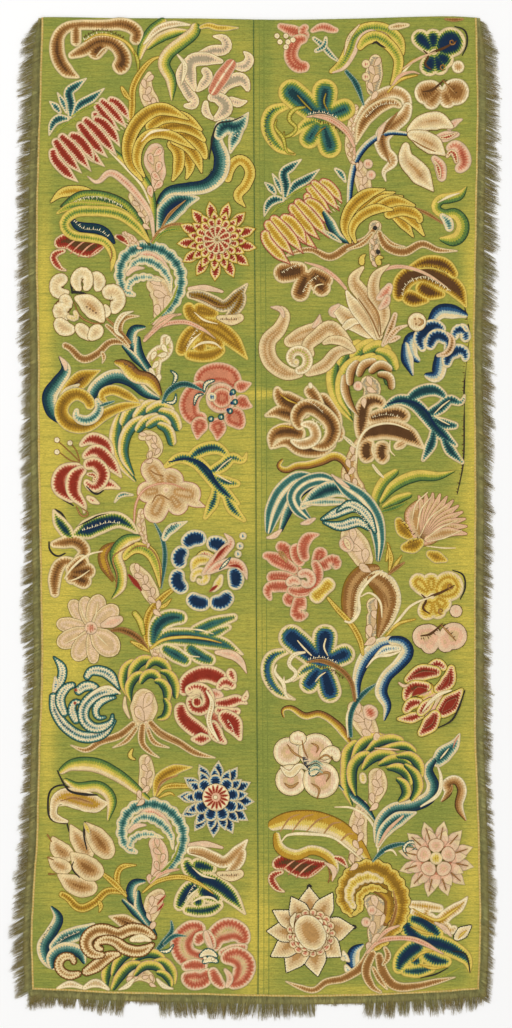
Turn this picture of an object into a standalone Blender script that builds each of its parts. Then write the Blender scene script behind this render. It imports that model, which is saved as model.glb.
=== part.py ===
"""Needlework panel lying face up: two worked widths joined by a seam, an edging braid and a wool fringe.

Run it with: blender --background --python part.py
Metres, +Z up. The panel's top edge is towards +Y and its worked face looks up.
The origin is under the middle of the whole panel, on the surface that it lies on.
"""

import math
import random

import bmesh
import bpy
import numpy as np
from mathutils import Vector

CLOTH_THICKNESS = 0.0020
EDGE_PITCH = 0.0275
SEAM_PITCH = 0.110
PIECE_GAP = 0.0003
WELD_DISTANCE = 0.00001

BRAID_WIDTH = 0.0050
BRAID_THICKNESS = 0.0016
BRAID_INSET = 0.0006
BRAID_PITCH = 0.055

HEADING_WIDTH = 0.0170
HEADING_THICKNESS = 0.0042
TOP_CORNER_TAPER = 0.034
TOP_CORNER_SHARE = 0.35

LOCK_PITCH = 0.0250
LOCK_PARTING = 0.0016
LOCK_LENGTH_SPREAD = 0.0045
LOCK_LEAN_SPREAD = math.radians(7)
SHORTEST_LOCK = 0.006
LOCK_SEED = 11

TUCK_RISE = 0.0015
TUCK_FOLD_WIDTH = 0.0012
TUCK_FLAP_WIDTH = 0.0085
TUCK_END_TAPER = 0.05
TUCK_PITCH = 0.03
TUCK_SINK = 0.0002
TUCK_FOOT_DEPTH = 0.0010

# Distances down from the top edge, and how far the long edges and the seam lie from the middle line.
EDGE_COLUMNS = ("down", "left", "seam", "right")
EDGES = (
    (0.000, -0.494, -0.0046, 0.509),
    (0.210, -0.500, -0.0040, 0.513),
    (0.400, -0.506, -0.0032, 0.510),
    (0.580, -0.507, -0.0023, 0.507),
    (0.760, -0.503, -0.0013, 0.504),
    (0.950, -0.503, -0.0004, 0.507),
    (1.130, -0.500, 0.0006, 0.508),
    (1.320, -0.497, 0.0016, 0.507),
    (1.500, -0.495, 0.0027, 0.507),
    (1.680, -0.501, 0.0037, 0.508),
    (1.800, -0.504, 0.0043, 0.513),
    (1.900, -0.507, 0.0047, 0.516),
    (2.000, -0.514, 0.0050, 0.518),
    (2.100, -0.519, 0.0050, 0.519),
    (2.240, -0.516, 0.0046, 0.514),
)

# The two short edges, from the left end to the right: how far down each one lies.
END_COLUMNS = ("across", "top_down", "bottom_down")
ENDS = (
    (-0.520, -0.002, 2.235),
    (-0.450, -0.002, 2.238),
    (-0.330, 0.000, 2.244),
    (-0.130, 0.001, 2.248),
    (0.060, 0.004, 2.252),
    (0.240, 0.001, 2.250),
    (0.380, -0.003, 2.244),
    (0.450, -0.004, 2.240),
    (0.520, 0.000, 2.235),
)

# How far the fringe's ends reach from the cloth's long edges, and how much its locks lean down.
SIDE_FRINGE_COLUMNS = ("down", "left_reach", "right_reach", "left_lean", "right_lean")
SIDE_FRINGE = (
    (0.000, 0.018, 0.024, 0.10, 0.30),
    (0.024, 0.042, 0.044, 0.10, 0.30),
    (0.060, 0.053, 0.051, 0.05, 0.30),
    (0.210, 0.048, 0.050, 0.05, 0.25),
    (0.430, 0.045, 0.048, 0.12, 0.20),
    (0.650, 0.048, 0.050, 0.30, 0.10),
    (0.860, 0.042, 0.045, 0.35, 0.10),
    (1.010, 0.043, 0.040, 0.40, 0.15),
    (1.200, 0.040, 0.041, 0.30, 0.10),
    (1.400, 0.047, 0.036, 0.20, 0.05),
    (1.560, 0.039, 0.039, 0.15, 0.10),
    (1.740, 0.038, 0.034, 0.25, 0.10),
    (1.900, 0.046, 0.036, 0.30, 0.20),
    (2.070, 0.050, 0.036, 0.30, 0.30),
    (2.240, 0.044, 0.026, 0.30, 0.35),
)
BOTTOM_FRINGE_COLUMNS = ("across", "reach", "lean")
BOTTOM_FRINGE = (
    (-0.520, 0.048, -0.30),
    (-0.450, 0.041, -0.10),
    (-0.330, 0.051, 0.05),
    (-0.140, 0.054, 0.00),
    (0.030, 0.053, 0.00),
    (0.130, 0.055, 0.00),
    (0.310, 0.054, 0.00),
    (0.440, 0.052, 0.05),
    (0.520, 0.042, 0.10),
)
# Stretches of the bottom fringe that have lost their ends, with the reach of what is left.
# Each row: start and end across the panel, and the reach.
WORN_STRETCHES = (
    (-0.297, -0.219, 0.027),
    (0.135, 0.252, 0.022),
)

# Rings of a lock beyond its root: share of its length, share of its width, share of its thickness.
LOCK_STAGES = (
    (0.52, 0.80, 0.85),
    (1.00, 0.26, 0.45),
)

# A sewn tuck near the right edge, where the cloth folds over itself: its fold line.
TUCK_COLUMNS = ("down", "across")
TUCK = (
    (0.600, 0.470),
    (0.660, 0.486),
    (0.715, 0.493),
    (0.790, 0.484),
    (0.930, 0.477),
    (1.060, 0.471),
    (1.110, 0.460),
)

NEEDLEWORK_GREEN = (0.300, 0.330, 0.060)
BRAID_YELLOW = (0.600, 0.480, 0.160)
FRINGE_OLIVE = (0.135, 0.115, 0.050)
WOOL_ROUGHNESS = 0.9


def clear_scene():
    """Remove the objects that the file starts with."""
    for item in list(bpy.data.objects):
        bpy.data.objects.remove(item)


def read(columns, rows, column, place):
    """One column of a table at a place between its rows, on a smooth curve through them."""
    places = np.array([row[0] for row in rows])
    values = np.array([row[columns.index(column)] for row in rows])
    slopes = np.gradient(values, places)
    place = min(max(place, places[0]), places[-1])
    row = min(int(np.searchsorted(places, place, side="right")) - 1, len(rows) - 2)
    span = places[row + 1] - places[row]
    t = (place - places[row]) / span
    start_weight = 2 * t**3 - 3 * t**2 + 1
    start_slope_weight = t**3 - 2 * t**2 + t
    end_slope_weight = t**3 - t**2
    return float(
        start_weight * values[row]
        + start_slope_weight * span * slopes[row]
        + (1 - start_weight) * values[row + 1]
        + end_slope_weight * span * slopes[row + 1]
    )


def top_at(across):
    """Y of the cloth's top edge."""
    return -read(END_COLUMNS, ENDS, "top_down", across)


def bottom_at(across):
    """Y of the cloth's bottom edge."""
    return -read(END_COLUMNS, ENDS, "bottom_down", across)


def edge_at(line, y):
    """X of the cloth's left edge, seam or right edge at a height y."""
    return read(EDGE_COLUMNS, EDGES, line, -y)


def wool(name, colour):
    """A matt wool material."""
    material = bpy.data.materials.new(name)
    material.use_nodes = True
    shader = material.node_tree.nodes["Principled BSDF"]
    shader.inputs["Base Color"].default_value = (*colour, 1)
    shader.inputs["Roughness"].default_value = WOOL_ROUGHNESS
    shader.inputs["Metallic"].default_value = 0
    return material


def add_object(name, shape, collection, material):
    """Turn a bmesh into a named object with its material."""
    bmesh.ops.recalc_face_normals(shape, faces=shape.faces)
    mesh = bpy.data.meshes.new(name)
    shape.to_mesh(mesh)
    shape.free()
    mesh.materials.append(material)
    item = bpy.data.objects.new(name, mesh)
    collection.objects.link(item)
    return item


def ribbon(lines, low, high):
    """A closed solid between side-by-side lines of points, from height low to height high.

    Each line is a list of (x, y) with the same number of points. The solid's bmesh is returned.
    """
    shape = bmesh.new()
    first, *others = lines
    verts = [shape.verts.new((x, y, low)) for x, y in first]
    edges = [shape.edges.new(pair) for pair in zip(verts, verts[1:])]
    for line in others:
        made = bmesh.ops.extrude_edge_only(shape, edges=edges)["geom"]
        edges = [item for item in made if isinstance(item, bmesh.types.BMEdge)]
        edges = [edge for edge in edges if len(edge.link_faces) == 1]
        new_verts = [item for item in made if isinstance(item, bmesh.types.BMVert)]
        edges = [edge for edge in edges if all(vert in new_verts for vert in edge.verts)]
        for vert, (x, y) in zip(new_verts, line):
            vert.co = (x, y, low)
    bmesh.ops.recalc_face_normals(shape, faces=shape.faces)
    made = bmesh.ops.extrude_face_region(shape, geom=shape.faces[:], use_keep_orig=True)
    lifted = [item for item in made["geom"] if isinstance(item, bmesh.types.BMVert)]
    bmesh.ops.translate(shape, verts=lifted, vec=(0, 0, high - low))
    return shape


def sheet_of(name, outline, low, thickness, collection, material):
    """A flat sheet with a given outline, as one closed mesh."""
    curve = bpy.data.curves.new(name, "CURVE")
    curve.dimensions = "2D"
    curve.fill_mode = "BOTH"
    curve.extrude = thickness / 2
    spline = curve.splines.new("POLY")
    spline.points.add(len(outline) - 1)
    for point, (x, y) in zip(spline.points, outline):
        point.co = (x, y, 0, 1)
    spline.use_cyclic_u = True
    drawn = bpy.data.objects.new(name + "_outline", curve)
    bpy.context.scene.collection.objects.link(drawn)
    graph = bpy.context.evaluated_depsgraph_get()
    shape = bmesh.new()
    shape.from_mesh(bpy.data.meshes.new_from_object(drawn.evaluated_get(graph)))
    bpy.data.objects.remove(drawn)
    bmesh.ops.remove_doubles(shape, verts=shape.verts, dist=WELD_DISTANCE)
    bmesh.ops.translate(shape, verts=shape.verts, vec=(0, 0, low + thickness / 2))
    return add_object(name, shape, collection, material)


def tuck_columns(y):
    """X of the tuck's foot, its two crest lines and its other foot, at a height y."""
    fold = read(TUCK_COLUMNS, TUCK, "across", -y)
    clear_of_braid = edge_at("right", y) - BRAID_INSET - BRAID_WIDTH - 2 * PIECE_GAP
    end = min(fold + TUCK_FLAP_WIDTH, clear_of_braid)
    return fold - TUCK_FOLD_WIDTH, fold, (fold + end) / 2, end


def tuck_fold():
    """The doubled cloth of the tuck: a low ridge whose foot is sunk in the right width."""
    start, end = -TUCK[0][0], -TUCK[-1][0]
    levels = spread(start, end, TUCK_PITCH)
    lines = [[(tuck_columns(y)[index], y) for y in levels] for index in range(4)]
    shape = ribbon(lines, TUCK_FOOT_DEPTH, CLOTH_THICKNESS - TUCK_SINK)
    for vert in shape.verts:
        x, y, z = vert.co
        foot, crest, other_crest, other_foot = tuck_columns(y)
        on_crest = (foot + crest) / 2 < x < (other_crest + other_foot) / 2
        if on_crest and z > TUCK_FOOT_DEPTH:
            share = min(1, (min(start - y, y - end) + TUCK_SINK) / TUCK_END_TAPER)
            vert.co.z = CLOTH_THICKNESS + TUCK_RISE * share
    return shape


def needlework_outline(side):
    """Points round one worked width of cloth, from the top of its outer edge."""
    seam_side = -PIECE_GAP / 2 if side == "left" else PIECE_GAP / 2
    top, bottom = corners(side)
    outer = [(edge_at(side, y), y) for y in spread(top.y, bottom.y, EDGE_PITCH)]
    levels = spread(top_at(0), bottom_at(0), SEAM_PITCH)
    seam = [(edge_at("seam", y) + seam_side, y) for y in levels]
    top_end = [(x, top_at(x)) for x in spread(seam[0][0], top.x, EDGE_PITCH)]
    bottom_end = [(x, bottom_at(x)) for x in spread(bottom.x, seam[-1][0], EDGE_PITCH)]
    return outer[:-1] + bottom_end[:-1] + seam[:0:-1] + top_end[:-1]


def corners(side):
    """The cloth's top and bottom corners on one side."""
    top_x = edge_at(side, top_at(0))
    bottom_x = edge_at(side, bottom_at(0))
    return Vector((top_x, top_at(top_x))), Vector((bottom_x, bottom_at(bottom_x)))


def spread(start, end, pitch):
    """Even steps from start to end, each near a pitch."""
    steps = round(abs(end - start) / pitch)
    return [start + (end - start) * step / steps for step in range(steps + 1)]


def braid(edge):
    """The narrow yellow braid sewn on the face along one edge of the cloth."""
    low = CLOTH_THICKNESS + PIECE_GAP
    insets = (BRAID_INSET + BRAID_WIDTH, BRAID_INSET)
    if edge == "bottom":
        clear = BRAID_INSET + BRAID_WIDTH + PIECE_GAP
        start, end = (corners(side)[1].x for side in ("left", "right"))
        places = spread(start + clear, end - clear, BRAID_PITCH)
        lines = [[(x, bottom_at(x) + inset) for x in places] for inset in insets]
    else:
        sign = -1 if edge == "left" else 1
        top, bottom = (corner.y for corner in corners(edge))
        levels = spread(top - BRAID_INSET, bottom + BRAID_INSET, BRAID_PITCH)
        lines = [[(edge_at(edge, y) - sign * inset, y) for y in levels] for inset in insets]
    return ribbon(lines, low, low + BRAID_THICKNESS)


def lock_stations(length):
    """Places along a fringe where locks start and end, as (start, end) pairs."""
    count = round(length / LOCK_PITCH)
    pitch = length / count
    pairs = []
    for index in range(count):
        start = index * pitch + (0 if index == 0 else LOCK_PARTING / 2)
        end = (index + 1) * pitch - (0 if index == count - 1 else LOCK_PARTING / 2)
        pairs.append((start, end))
    return pairs


def shape_ring(face, centre, along, half_width, height):
    """Move a lock's end face to a centre on the floor, with a half width along the fringe and a height."""
    middle = face.calc_center_median()
    for vert in face.verts:
        side = 1 if (vert.co - middle).dot(along) > 0 else -1
        top = height if vert.co.z > middle.z else 0
        place = centre + side * half_width * along
        vert.co = (place.x, place.y, top)


def add_lock(shape, lock):
    """Grow one lock of wool out of its face of the heading, in two tapering lengths."""
    face = lock["face"]
    for share, width, height in LOCK_STAGES:
        face = bmesh.ops.extrude_discrete_faces(shape, faces=[face])["faces"][0]
        centre = lock["root"] + share * lock["length"] * lock["way"]
        half_width = width * lock["width"] / 2
        shape_ring(face, centre, lock["along"], half_width, height * HEADING_THICKNESS)


def fringe(path, length, reach_at, lean_at, heading_at, seed):
    """A heading strip along a path, with locks of wool fused to its outer side.

    path(s) gives the point on the cloth's edge and the outward direction at a distance s.
    """
    pairs = lock_stations(length)
    stations = [place for pair in pairs for place in pair]
    inner, outer = [], []
    for station in stations:
        point, out = path(station)
        near = point + out * PIECE_GAP
        far = point + out * (PIECE_GAP + heading_at(station))
        inner.append((near.x, near.y))
        outer.append((far.x, far.y))
    shape = ribbon([inner, outer], 0, HEADING_THICKNESS)
    sides = {}
    for face in shape.faces:
        middle = face.calc_center_median()
        if abs(middle.z - HEADING_THICKNESS / 2) < HEADING_THICKNESS / 4:
            sides[tuple(round(value, 5) for value in middle.xy)] = face
    chance = random.Random(seed)
    locks = []
    for index, (start, end) in enumerate(pairs):
        first, last = Vector(outer[2 * index]), Vector(outer[2 * index + 1])
        root = (first + last) / 2
        face = min(sides.items(), key=lambda item: (Vector(item[0]) - root).length)[1]
        place = (start + end) / 2
        _, out = path(place)
        along = (last - first).normalized()
        lean = lean_at(place) + chance.uniform(-1, 1) * LOCK_LEAN_SPREAD
        reach = reach_at(place) + chance.uniform(-1, 1) * LOCK_LENGTH_SPREAD
        free = max(SHORTEST_LOCK, reach - heading_at(place) - PIECE_GAP)
        way = out * math.cos(lean) + along * math.sin(lean)
        locks.append(
            {
                "face": face,
                "root": root.to_3d(),
                "along": along.to_3d(),
                "way": way.to_3d(),
                "length": free / math.cos(lean),
                "width": (last - first).length,
            }
        )
    for lock in locks:
        add_lock(shape, lock)
    return shape


def side_fringe(side):
    """The fringe down one long edge, turning the bottom corner."""
    sign = -1 if side == "left" else 1
    top, bottom = (corner.y for corner in corners(side))

    def path(place):
        """Point on the long edge and the way out from it."""
        return Vector((edge_at(side, top - place), top - place)), Vector((sign, 0))

    def heading_at(place):
        """Width of the heading, drawn in at the panel's top corner."""
        share = TOP_CORNER_SHARE + (1 - TOP_CORNER_SHARE) * place / TOP_CORNER_TAPER
        return HEADING_WIDTH * min(1, share)

    return fringe(
        path,
        top - bottom + HEADING_WIDTH,
        lambda place: read(SIDE_FRINGE_COLUMNS, SIDE_FRINGE, side + "_reach", place),
        lambda place: read(SIDE_FRINGE_COLUMNS, SIDE_FRINGE, side + "_lean", place),
        heading_at,
        LOCK_SEED + sign,
    )


def bottom_fringe():
    """The fringe along the bottom edge, with its two worn stretches."""
    left, right = (corners(side)[1].x for side in ("left", "right"))

    def path(place):
        """Point on the bottom edge and the way out from it."""
        x = left + place
        return Vector((x, bottom_at(x))), Vector((0, -1))

    def reach_at(place):
        """Reach of the ends, less where the fringe is worn away."""
        for start, end, reach in WORN_STRETCHES:
            if start < left + place < end:
                return reach
        return read(BOTTOM_FRINGE_COLUMNS, BOTTOM_FRINGE, "reach", left + place)

    return fringe(
        path,
        right - left,
        reach_at,
        lambda place: read(BOTTOM_FRINGE_COLUMNS, BOTTOM_FRINGE, "lean", left + place),
        lambda place: HEADING_WIDTH,
        LOCK_SEED,
    )


def set_origin_under_middle(items, tuck):
    """Move all pieces so that the origin is under the middle of the panel's box."""
    corners = np.array([vert.co[:] for item in items for vert in item.data.vertices])
    middle = (corners.min(axis=0) + corners.max(axis=0)) / 2
    for item in items + [tuck]:
        item.location = (-middle[0], -middle[1], 0)


def build_panel():
    """Make every piece of the panel in one collection."""
    clear_scene()
    collection = bpy.data.collections.new("needlework_panel")
    bpy.context.scene.collection.children.link(collection)
    green = wool("needlework_wool", NEEDLEWORK_GREEN)
    yellow = wool("braid_wool", BRAID_YELLOW)
    olive = wool("fringe_wool", FRINGE_OLIVE)
    items = []
    for side in ("left", "right"):
        outline = needlework_outline(side)
        items.append(sheet_of("needlework_" + side, outline, 0, CLOTH_THICKNESS, collection, green))
    guides = bpy.data.collections.new("guides")
    bpy.context.scene.collection.children.link(guides)
    tuck = add_object("tuck_fold", tuck_fold(), guides, green)
    tuck.hide_render = True
    tuck.display_type = "WIRE"
    join = items[-1].modifiers.new("tuck", "BOOLEAN")
    join.operation = "UNION"
    join.object = tuck
    for edge in ("left", "right", "bottom"):
        items.append(add_object("braid_" + edge, braid(edge), collection, yellow))
    for side in ("left", "right"):
        items.append(add_object("fringe_" + side, side_fringe(side), collection, olive))
    items.append(add_object("fringe_bottom", bottom_fringe(), collection, olive))
    set_origin_under_middle(items, tuck)


build_panel()
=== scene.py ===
import math
from functools import partial

import bmesh
import bpy
import numpy as np
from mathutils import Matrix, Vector


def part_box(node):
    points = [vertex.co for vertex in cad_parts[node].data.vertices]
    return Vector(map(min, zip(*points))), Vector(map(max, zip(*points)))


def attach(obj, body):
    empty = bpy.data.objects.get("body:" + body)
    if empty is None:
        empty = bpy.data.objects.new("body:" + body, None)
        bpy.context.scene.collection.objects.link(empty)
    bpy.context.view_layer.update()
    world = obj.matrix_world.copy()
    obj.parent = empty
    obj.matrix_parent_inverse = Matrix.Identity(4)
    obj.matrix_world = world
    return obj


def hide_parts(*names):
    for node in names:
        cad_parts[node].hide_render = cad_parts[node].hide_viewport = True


bl_info = {
    "name": "Needlework panel",
    "version": (1, 0, 0),
    "blender": (4, 5, 0),
    "location": "3D View > Sidebar > Needlework",
    "description": "Two seamed widths of wool needlework with braid, fringe and stitched flowers and leaves",
    "category": "Object",
}

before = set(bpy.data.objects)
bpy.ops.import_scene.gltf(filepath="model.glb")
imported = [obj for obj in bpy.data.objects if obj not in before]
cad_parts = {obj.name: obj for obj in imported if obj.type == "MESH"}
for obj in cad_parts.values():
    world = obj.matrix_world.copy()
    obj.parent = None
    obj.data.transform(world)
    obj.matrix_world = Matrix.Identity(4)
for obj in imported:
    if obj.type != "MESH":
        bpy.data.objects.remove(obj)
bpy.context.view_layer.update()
LEFT_LOW, LEFT_HIGH = (Vector(corner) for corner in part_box("needlework_left"))
RIGHT_LOW, RIGHT_HIGH = (Vector(corner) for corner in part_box("needlework_right"))

# Working chart: places are given in squares, counted right from the left edge and down from the top
SQUARE = 0.0023
MIDDLE_COLUMN = 256.0
TOP_ROW = 18.0
CHART_ROWS = 1028
SEAM_LEAN = 0.00485
TOP_BOW = 0.004
MIDDLE_X = LEFT_HIGH.x - SEAM_LEAN
TOP_Y = RIGHT_HIGH.y - TOP_BOW
CLOTH_TOP = 0.002
STITCH_LAYER = 0.00013
STITCH_RISE = 0.00011
STITCH_START = 0.00016
# Bands of colour span this many squares, and the comb between them has a tooth every so many
BAND_SPAN = 16.0
COMB_PITCH = 2.4

# The tuck in the right width: distance down from the top edge and across from the middle, in metres
TUCK = (
    (0.600, 0.470),
    (0.660, 0.486),
    (0.715, 0.493),
    (0.790, 0.484),
    (0.930, 0.477),
    (1.060, 0.471),
    (1.110, 0.460),
)
TUCK_RISE = 0.0014
TUCK_FOLD_WIDTH = 0.0012
TUCK_FLAP_WIDTH = 0.0085

# Dyed wools: sRGB hex and what each is
WOOLS = {key: (colour, note) for key, colour, note in (row.split(" ", 2) for row in """
ground_green 8a9142 wool of the green ground
ground_dark 6d7a38 shaded rows of the green ground
ground_yellow cdb94e ground where its blue dye has faded to yellow
ivory f0dfb2 palest wool
cream e6cd98 cream wool
sand d3b280 sand wool
tan b98d55 tan wool
brown 8f6231 brown wool
umber 5b3d22 dark brown wool
ink 33302a blackish outline wool
straw dcc05c bright yellow wool
gold b98e2e gold wool
amber 8f6a22 dark gold wool
lime a8a63e yellow-green wool
leaf 5f7b3c leaf green wool
moss 3c5836 dark green wool
pale b9c2a0 pale blue-green wool
sea 6f9482 sea green wool
teal 37665c teal wool
deep 1f3c40 dark teal wool
sky a9b9ab pale blue wool
blue 2f5677 blue wool
navy 182c45 navy wool
red 8e3020 red wool
brick b0573c brick red wool
coral cb8260 coral wool
rose e2b28e rose wool
blush e4c39c pinkish cream wool
grey a8997a warm grey wool
cord dcc988 pale yellow braid wool
fringe_root 9d9a62 grey-green fringe wool
fringe_tip 97854f brown-olive fringe wool
""".strip().splitlines())}

# Shadings: wools and how many squares in from a limb's rim, or across it, each one lies
SHADINGS = dict(row.split(": ") for row in """
scroll_brown: cream 0 cream 1.6 tan 3.2 brown 5 umber 8
scroll_tan: cream 0 ivory 1.4 sand 3 tan 5 brown 8
stem_brown: tan 0 brown 1.6 umber 3.5
stem_gold: gold 0 straw 1.2 gold 2.4 amber 4
stem_cream: cream 0 ivory 1 sand 3
stem_teal: pale 0 teal 1.2 deep 3
stem_green: lime 0 leaf 1.4 moss 3
stem_pink: sand 0 rose 1.2 coral 3
fold_green: straw 0 lime 2 leaf 4 moss 7
fold_across: moss 0 leaf 3 lime 6 straw 9 cream 13 sand 16
gold_leaf: cream 0 straw 1.2 gold 3 amber 6 umber 9
gold_dark_rim: umber 0 straw .9 straw 1.8 gold 4 amber 7
yellow_leaf: amber 0 straw 1 straw 2.4 lime 4 leaf 7
teal_leaf: ivory 0 cream 1.6 pale 2.6 sea 3.6 teal 5 deep 7.5 navy 10
teal_across: ivory 0 cream 3 sea 6 teal 9 deep 12 navy 16
teal_spray: sea 0 teal 1.2 deep 3
green_core: cream 0 cream 2.4 lime 3.2 leaf 4.2 deep 5.8 navy 8
blue_core: cream 0 cream 2.6 lime 3.4 teal 4.8 blue 6.6 navy 8.4
blue_leaf: cream 0 ivory 2 sky 3.2 blue 5 navy 7
blue_across: ivory 0 cream 4 sky 7 blue 10 navy 14 navy 16
navy_petal: ivory 0 cream 1.4 sky 2.4 blue 3.4 navy 5
red_petal: rose 0 cream .7 cream 2.1 rose 2.8 brick 3.8 red 5.6
red_leaf: rose 0 cream 1 brick 2.2 red 4 umber 8
salmon_petal: cream 0 rose 1.4 coral 3 brick 5 coral 8
rose_petal: blush 0 blush 1.5 rose 3 coral 4.5 brick 7
beige_petal: brown 0 cream .7 ivory 2 cream 4 sand 7 tan 10
pink_petal: tan 0 blush .7 blush 2.2 rose 4.2 sand 7
ivory_petal: ink 0 ink .5 ivory 1 cream 3 sand 6 tan 10
cream_leaf: tan 0 ivory .8 cream 3 sand 6 tan 9
trunk: tan 0 cream .8 cream 2.4 sand 4 blush 8
trunk_dark: tan 0 sand 1.2 cream 2.6 tan 5
root: cream 0 cream .8 tan 1.8 brown 3
dark_leaf: cream 0 cream 1.6 sand 2.6 tan 4 umber 6 umber 9
olive_leaf: amber 0 brown 1.6 gold 4 amber 8
teal_rim: deep 0 teal 1 sea 1.8 ivory 2.6 cream 3.8 sky 4.8 teal 5.8
teal_outline: teal 0 teal .6 ivory 1.5 cream 4
gold_across: umber 0 brown 4 gold 8 straw 12 cream 15
brown_across: umber 0 brown 4 tan 8 sand 12 ivory 14
green_across: moss 0 leaf 4 lime 8 straw 12 straw 16
yellow_rim: straw 0 straw 2.4 lime 3.4 teal 4.6 deep 6 navy 8
rosette: cream 0 cream 1 brick 2.2 red 3.5
rose_band: cream 0 blush 1.6 coral 3.2 brick 4.8 brick 6.2 coral 8 sand 10 lime 14
rose_gold: umber 0 straw .7 cream 2.4 coral 3.4 red 4.6 umber 8
trefoil: cream 0 cream 1.8 straw 3.4 gold 6 straw 9 gold 12
pink_lobe: umber 0 blush .7 blush 3 rose 6 sand 10
grey_trunk: tan 0 cream 1 grey 3 sand 6
bud_brown: tan 0 cream .8 cream 3 sand 4.6 tan 7 brown 11
gold_fold: amber 0 gold 2 gold 6 straw 10 cream 14 ivory 16
brown_fold: amber 0 brown 3 tan 7 brown 11 cream 14 ivory 16
outline_brown: brown 0 tan 1
outline_ink: ink 0 ink 1
outline_pink: coral 0 rose 1
lime_stem: amber 0 lime 1 straw 2
lily: tan 0 ivory .8 cream 2 blush 3.4 grey 5
check: ivory 0 rose 5 coral 9 brick 16
flame: gold 0 straw .9 cream 1.9 brick 2.8 red 4.2
spray: ivory 0 cream 1.2 sea 2 teal 3 deep 4.2
lime_core: straw 0 straw 2.8 lime 4 leaf 5.4 teal 8 deep 11
cream_gold: cream 0 ivory 1.6 sand 3.4 lime 6 tan 9
vine_cream: coral 0 blush 1 cream 2.6 sand 5 tan 9 sand 11
olive_angle: cream 0 cream 1.2 grey 2.4 amber 4 umber 7
gold_vine: straw 0 straw 1.4 gold 3 amber 6 gold 9
palm_brown: cream 0 blush 1.4 tan 2.8 umber 4.6
pod_red: cream 0 blush 1.9 brick 2.7 red 4
pod_gold: brick 0 coral .9 cream 1.7 straw 3 gold 4.4
burr: tan 0 blush .8 blush 2.4 sand 4
burr_pink: tan 0 blush .8 rose 2 coral 4
tendril: umber 0 straw .9 straw 3 gold 4.4
hook_green: umber 0 moss .8 leaf 2.4 lime 5 moss 8
lime_band: straw 0 straw 2.2 lime 3.6 leaf 5
tooth_pale: ivory 0 ivory 3
tooth_dark: navy 0 deep 3
tooth_brown: umber 0 umber 3
seed_navy: blue 0 navy 1.4
seed_red: coral 0 red 1
scroll_sand: tan 0 cream .8 cream 2 sand 4 tan 6.4 sand 8
lime_across: moss 0 leaf 5 lime 8 straw 10 straw 16
palm_across: moss 0 teal 4 leaf 7 straw 10 cream 14
teal_stripes: ivory 0 cream 5 sea 9 teal 13 deep 16
amber_leaf: straw 0 straw 1.4 gold 2.8 amber 4.4 umber 6
antler_teal: cream 0 cream 1.4 sea 2.4 teal 3.4 deep 4.8
oak: cream 0 cream 2.2 lime 3 leaf 4 teal 5.2 deep 9
beige_gold: tan 0 ivory .8 cream 2 sand 4 gold 7 tan 10
band_brown: umber 0 brown .9 cream 2.2 cream 3.4 tan 4.6 brown 6.4
navy_star: ivory 0 cream .8 sky 1.6 blue 2.6 navy 3.8
petal_white: umber 0 cream .8 ivory 2 cream 6 rose 10
petal_along: tan 0 coral 3 rose 6 blush 10 cream 14
angle_gold: cream 0 ivory 1.4 cream 2.4 sand 3.6 gold 5 amber 7
arc_across: deep 0 moss 5 leaf 7 lime 9 straw 11 straw 14 rose 16
thistle_tan: brown 0 tan .7 rose 3 sand 6 tan 10 sand 16
thistle_ray: tan 0 rose .8 sand 2.4 tan 4.6 brown 8
lily_sand: brown 0 cream .6 sand 2.6 blush 5 sand 8
poppy: umber 0 cream .7 ivory 3 blush 6 sand 10 rose 14
gold_hollow: umber 0 gold .7 straw 2 rose 4 cream 7
rose_scale: tan 0 cream .8 blush 1.8 coral 2.8 brick 4
""".strip().splitlines())


def linear(hex_colour):
    """The linear RGB of an sRGB hex colour."""
    parts = [int(hex_colour[start:start + 2], 16) / 255 for start in (0, 2, 4)]
    return tuple(part / 12.92 if part <= 0.04045 else ((part + 0.055) / 1.055) ** 2.4 for part in parts)


def wool(key):
    """A dyed wool's colour as the user last set it."""
    return (*getattr(bpy.context.scene.panel_wools, key), 1.0)


# Reading the packed outline
def node_points(node):
    """All mesh points of one CAD node."""
    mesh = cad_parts[node].data
    flat = np.empty(len(mesh.vertices) * 3)
    mesh.vertices.foreach_get("co", flat)
    return flat.reshape(-1, 3)


def edge_reader(points, wanted, along, across):
    """A function that reads one edge of a cloth: its place across at any place along."""
    chosen = points[wanted]
    keys, first = np.unique(chosen[:, along].round(5), return_index=True)
    values = chosen[first, across]
    return lambda place: np.interp(place, keys, values)


LEFT_POINTS = node_points("needlework_left")
RIGHT_POINTS = node_points("needlework_right")
SIDE_LIMIT = 0.480
SEAM_LIMIT = 0.012
END_LIMIT = 0.030
ON_FLOOR = 0.0005
left_edge = edge_reader(LEFT_POINTS, LEFT_POINTS[:, 0] < -SIDE_LIMIT, 1, 0)
left_seam = edge_reader(LEFT_POINTS, LEFT_POINTS[:, 0] > -SEAM_LIMIT, 1, 0)
right_seam = edge_reader(RIGHT_POINTS, RIGHT_POINTS[:, 0] < SEAM_LIMIT, 1, 0)
right_edge = edge_reader(
    RIGHT_POINTS,
    (RIGHT_POINTS[:, 0] > 0.4995) & (RIGHT_POINTS[:, 2] < ON_FLOOR),
    1,
    0,
)
ALL_POINTS = np.vstack((LEFT_POINTS, RIGHT_POINTS))
top_edge = edge_reader(ALL_POINTS, ALL_POINTS[:, 1] > RIGHT_HIGH.y - END_LIMIT, 0, 1)
bottom_edge = edge_reader(ALL_POINTS, ALL_POINTS[:, 1] < RIGHT_LOW.y + END_LIMIT, 0, 1)


def place_x(columns):
    """Metres across for chart columns."""
    return (np.asarray(columns, float) - MIDDLE_COLUMN) * SQUARE + MIDDLE_X


def place_y(rows):
    """Metres along for chart rows."""
    return TOP_Y - (np.asarray(rows, float) - TOP_ROW) * SQUARE


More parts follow.
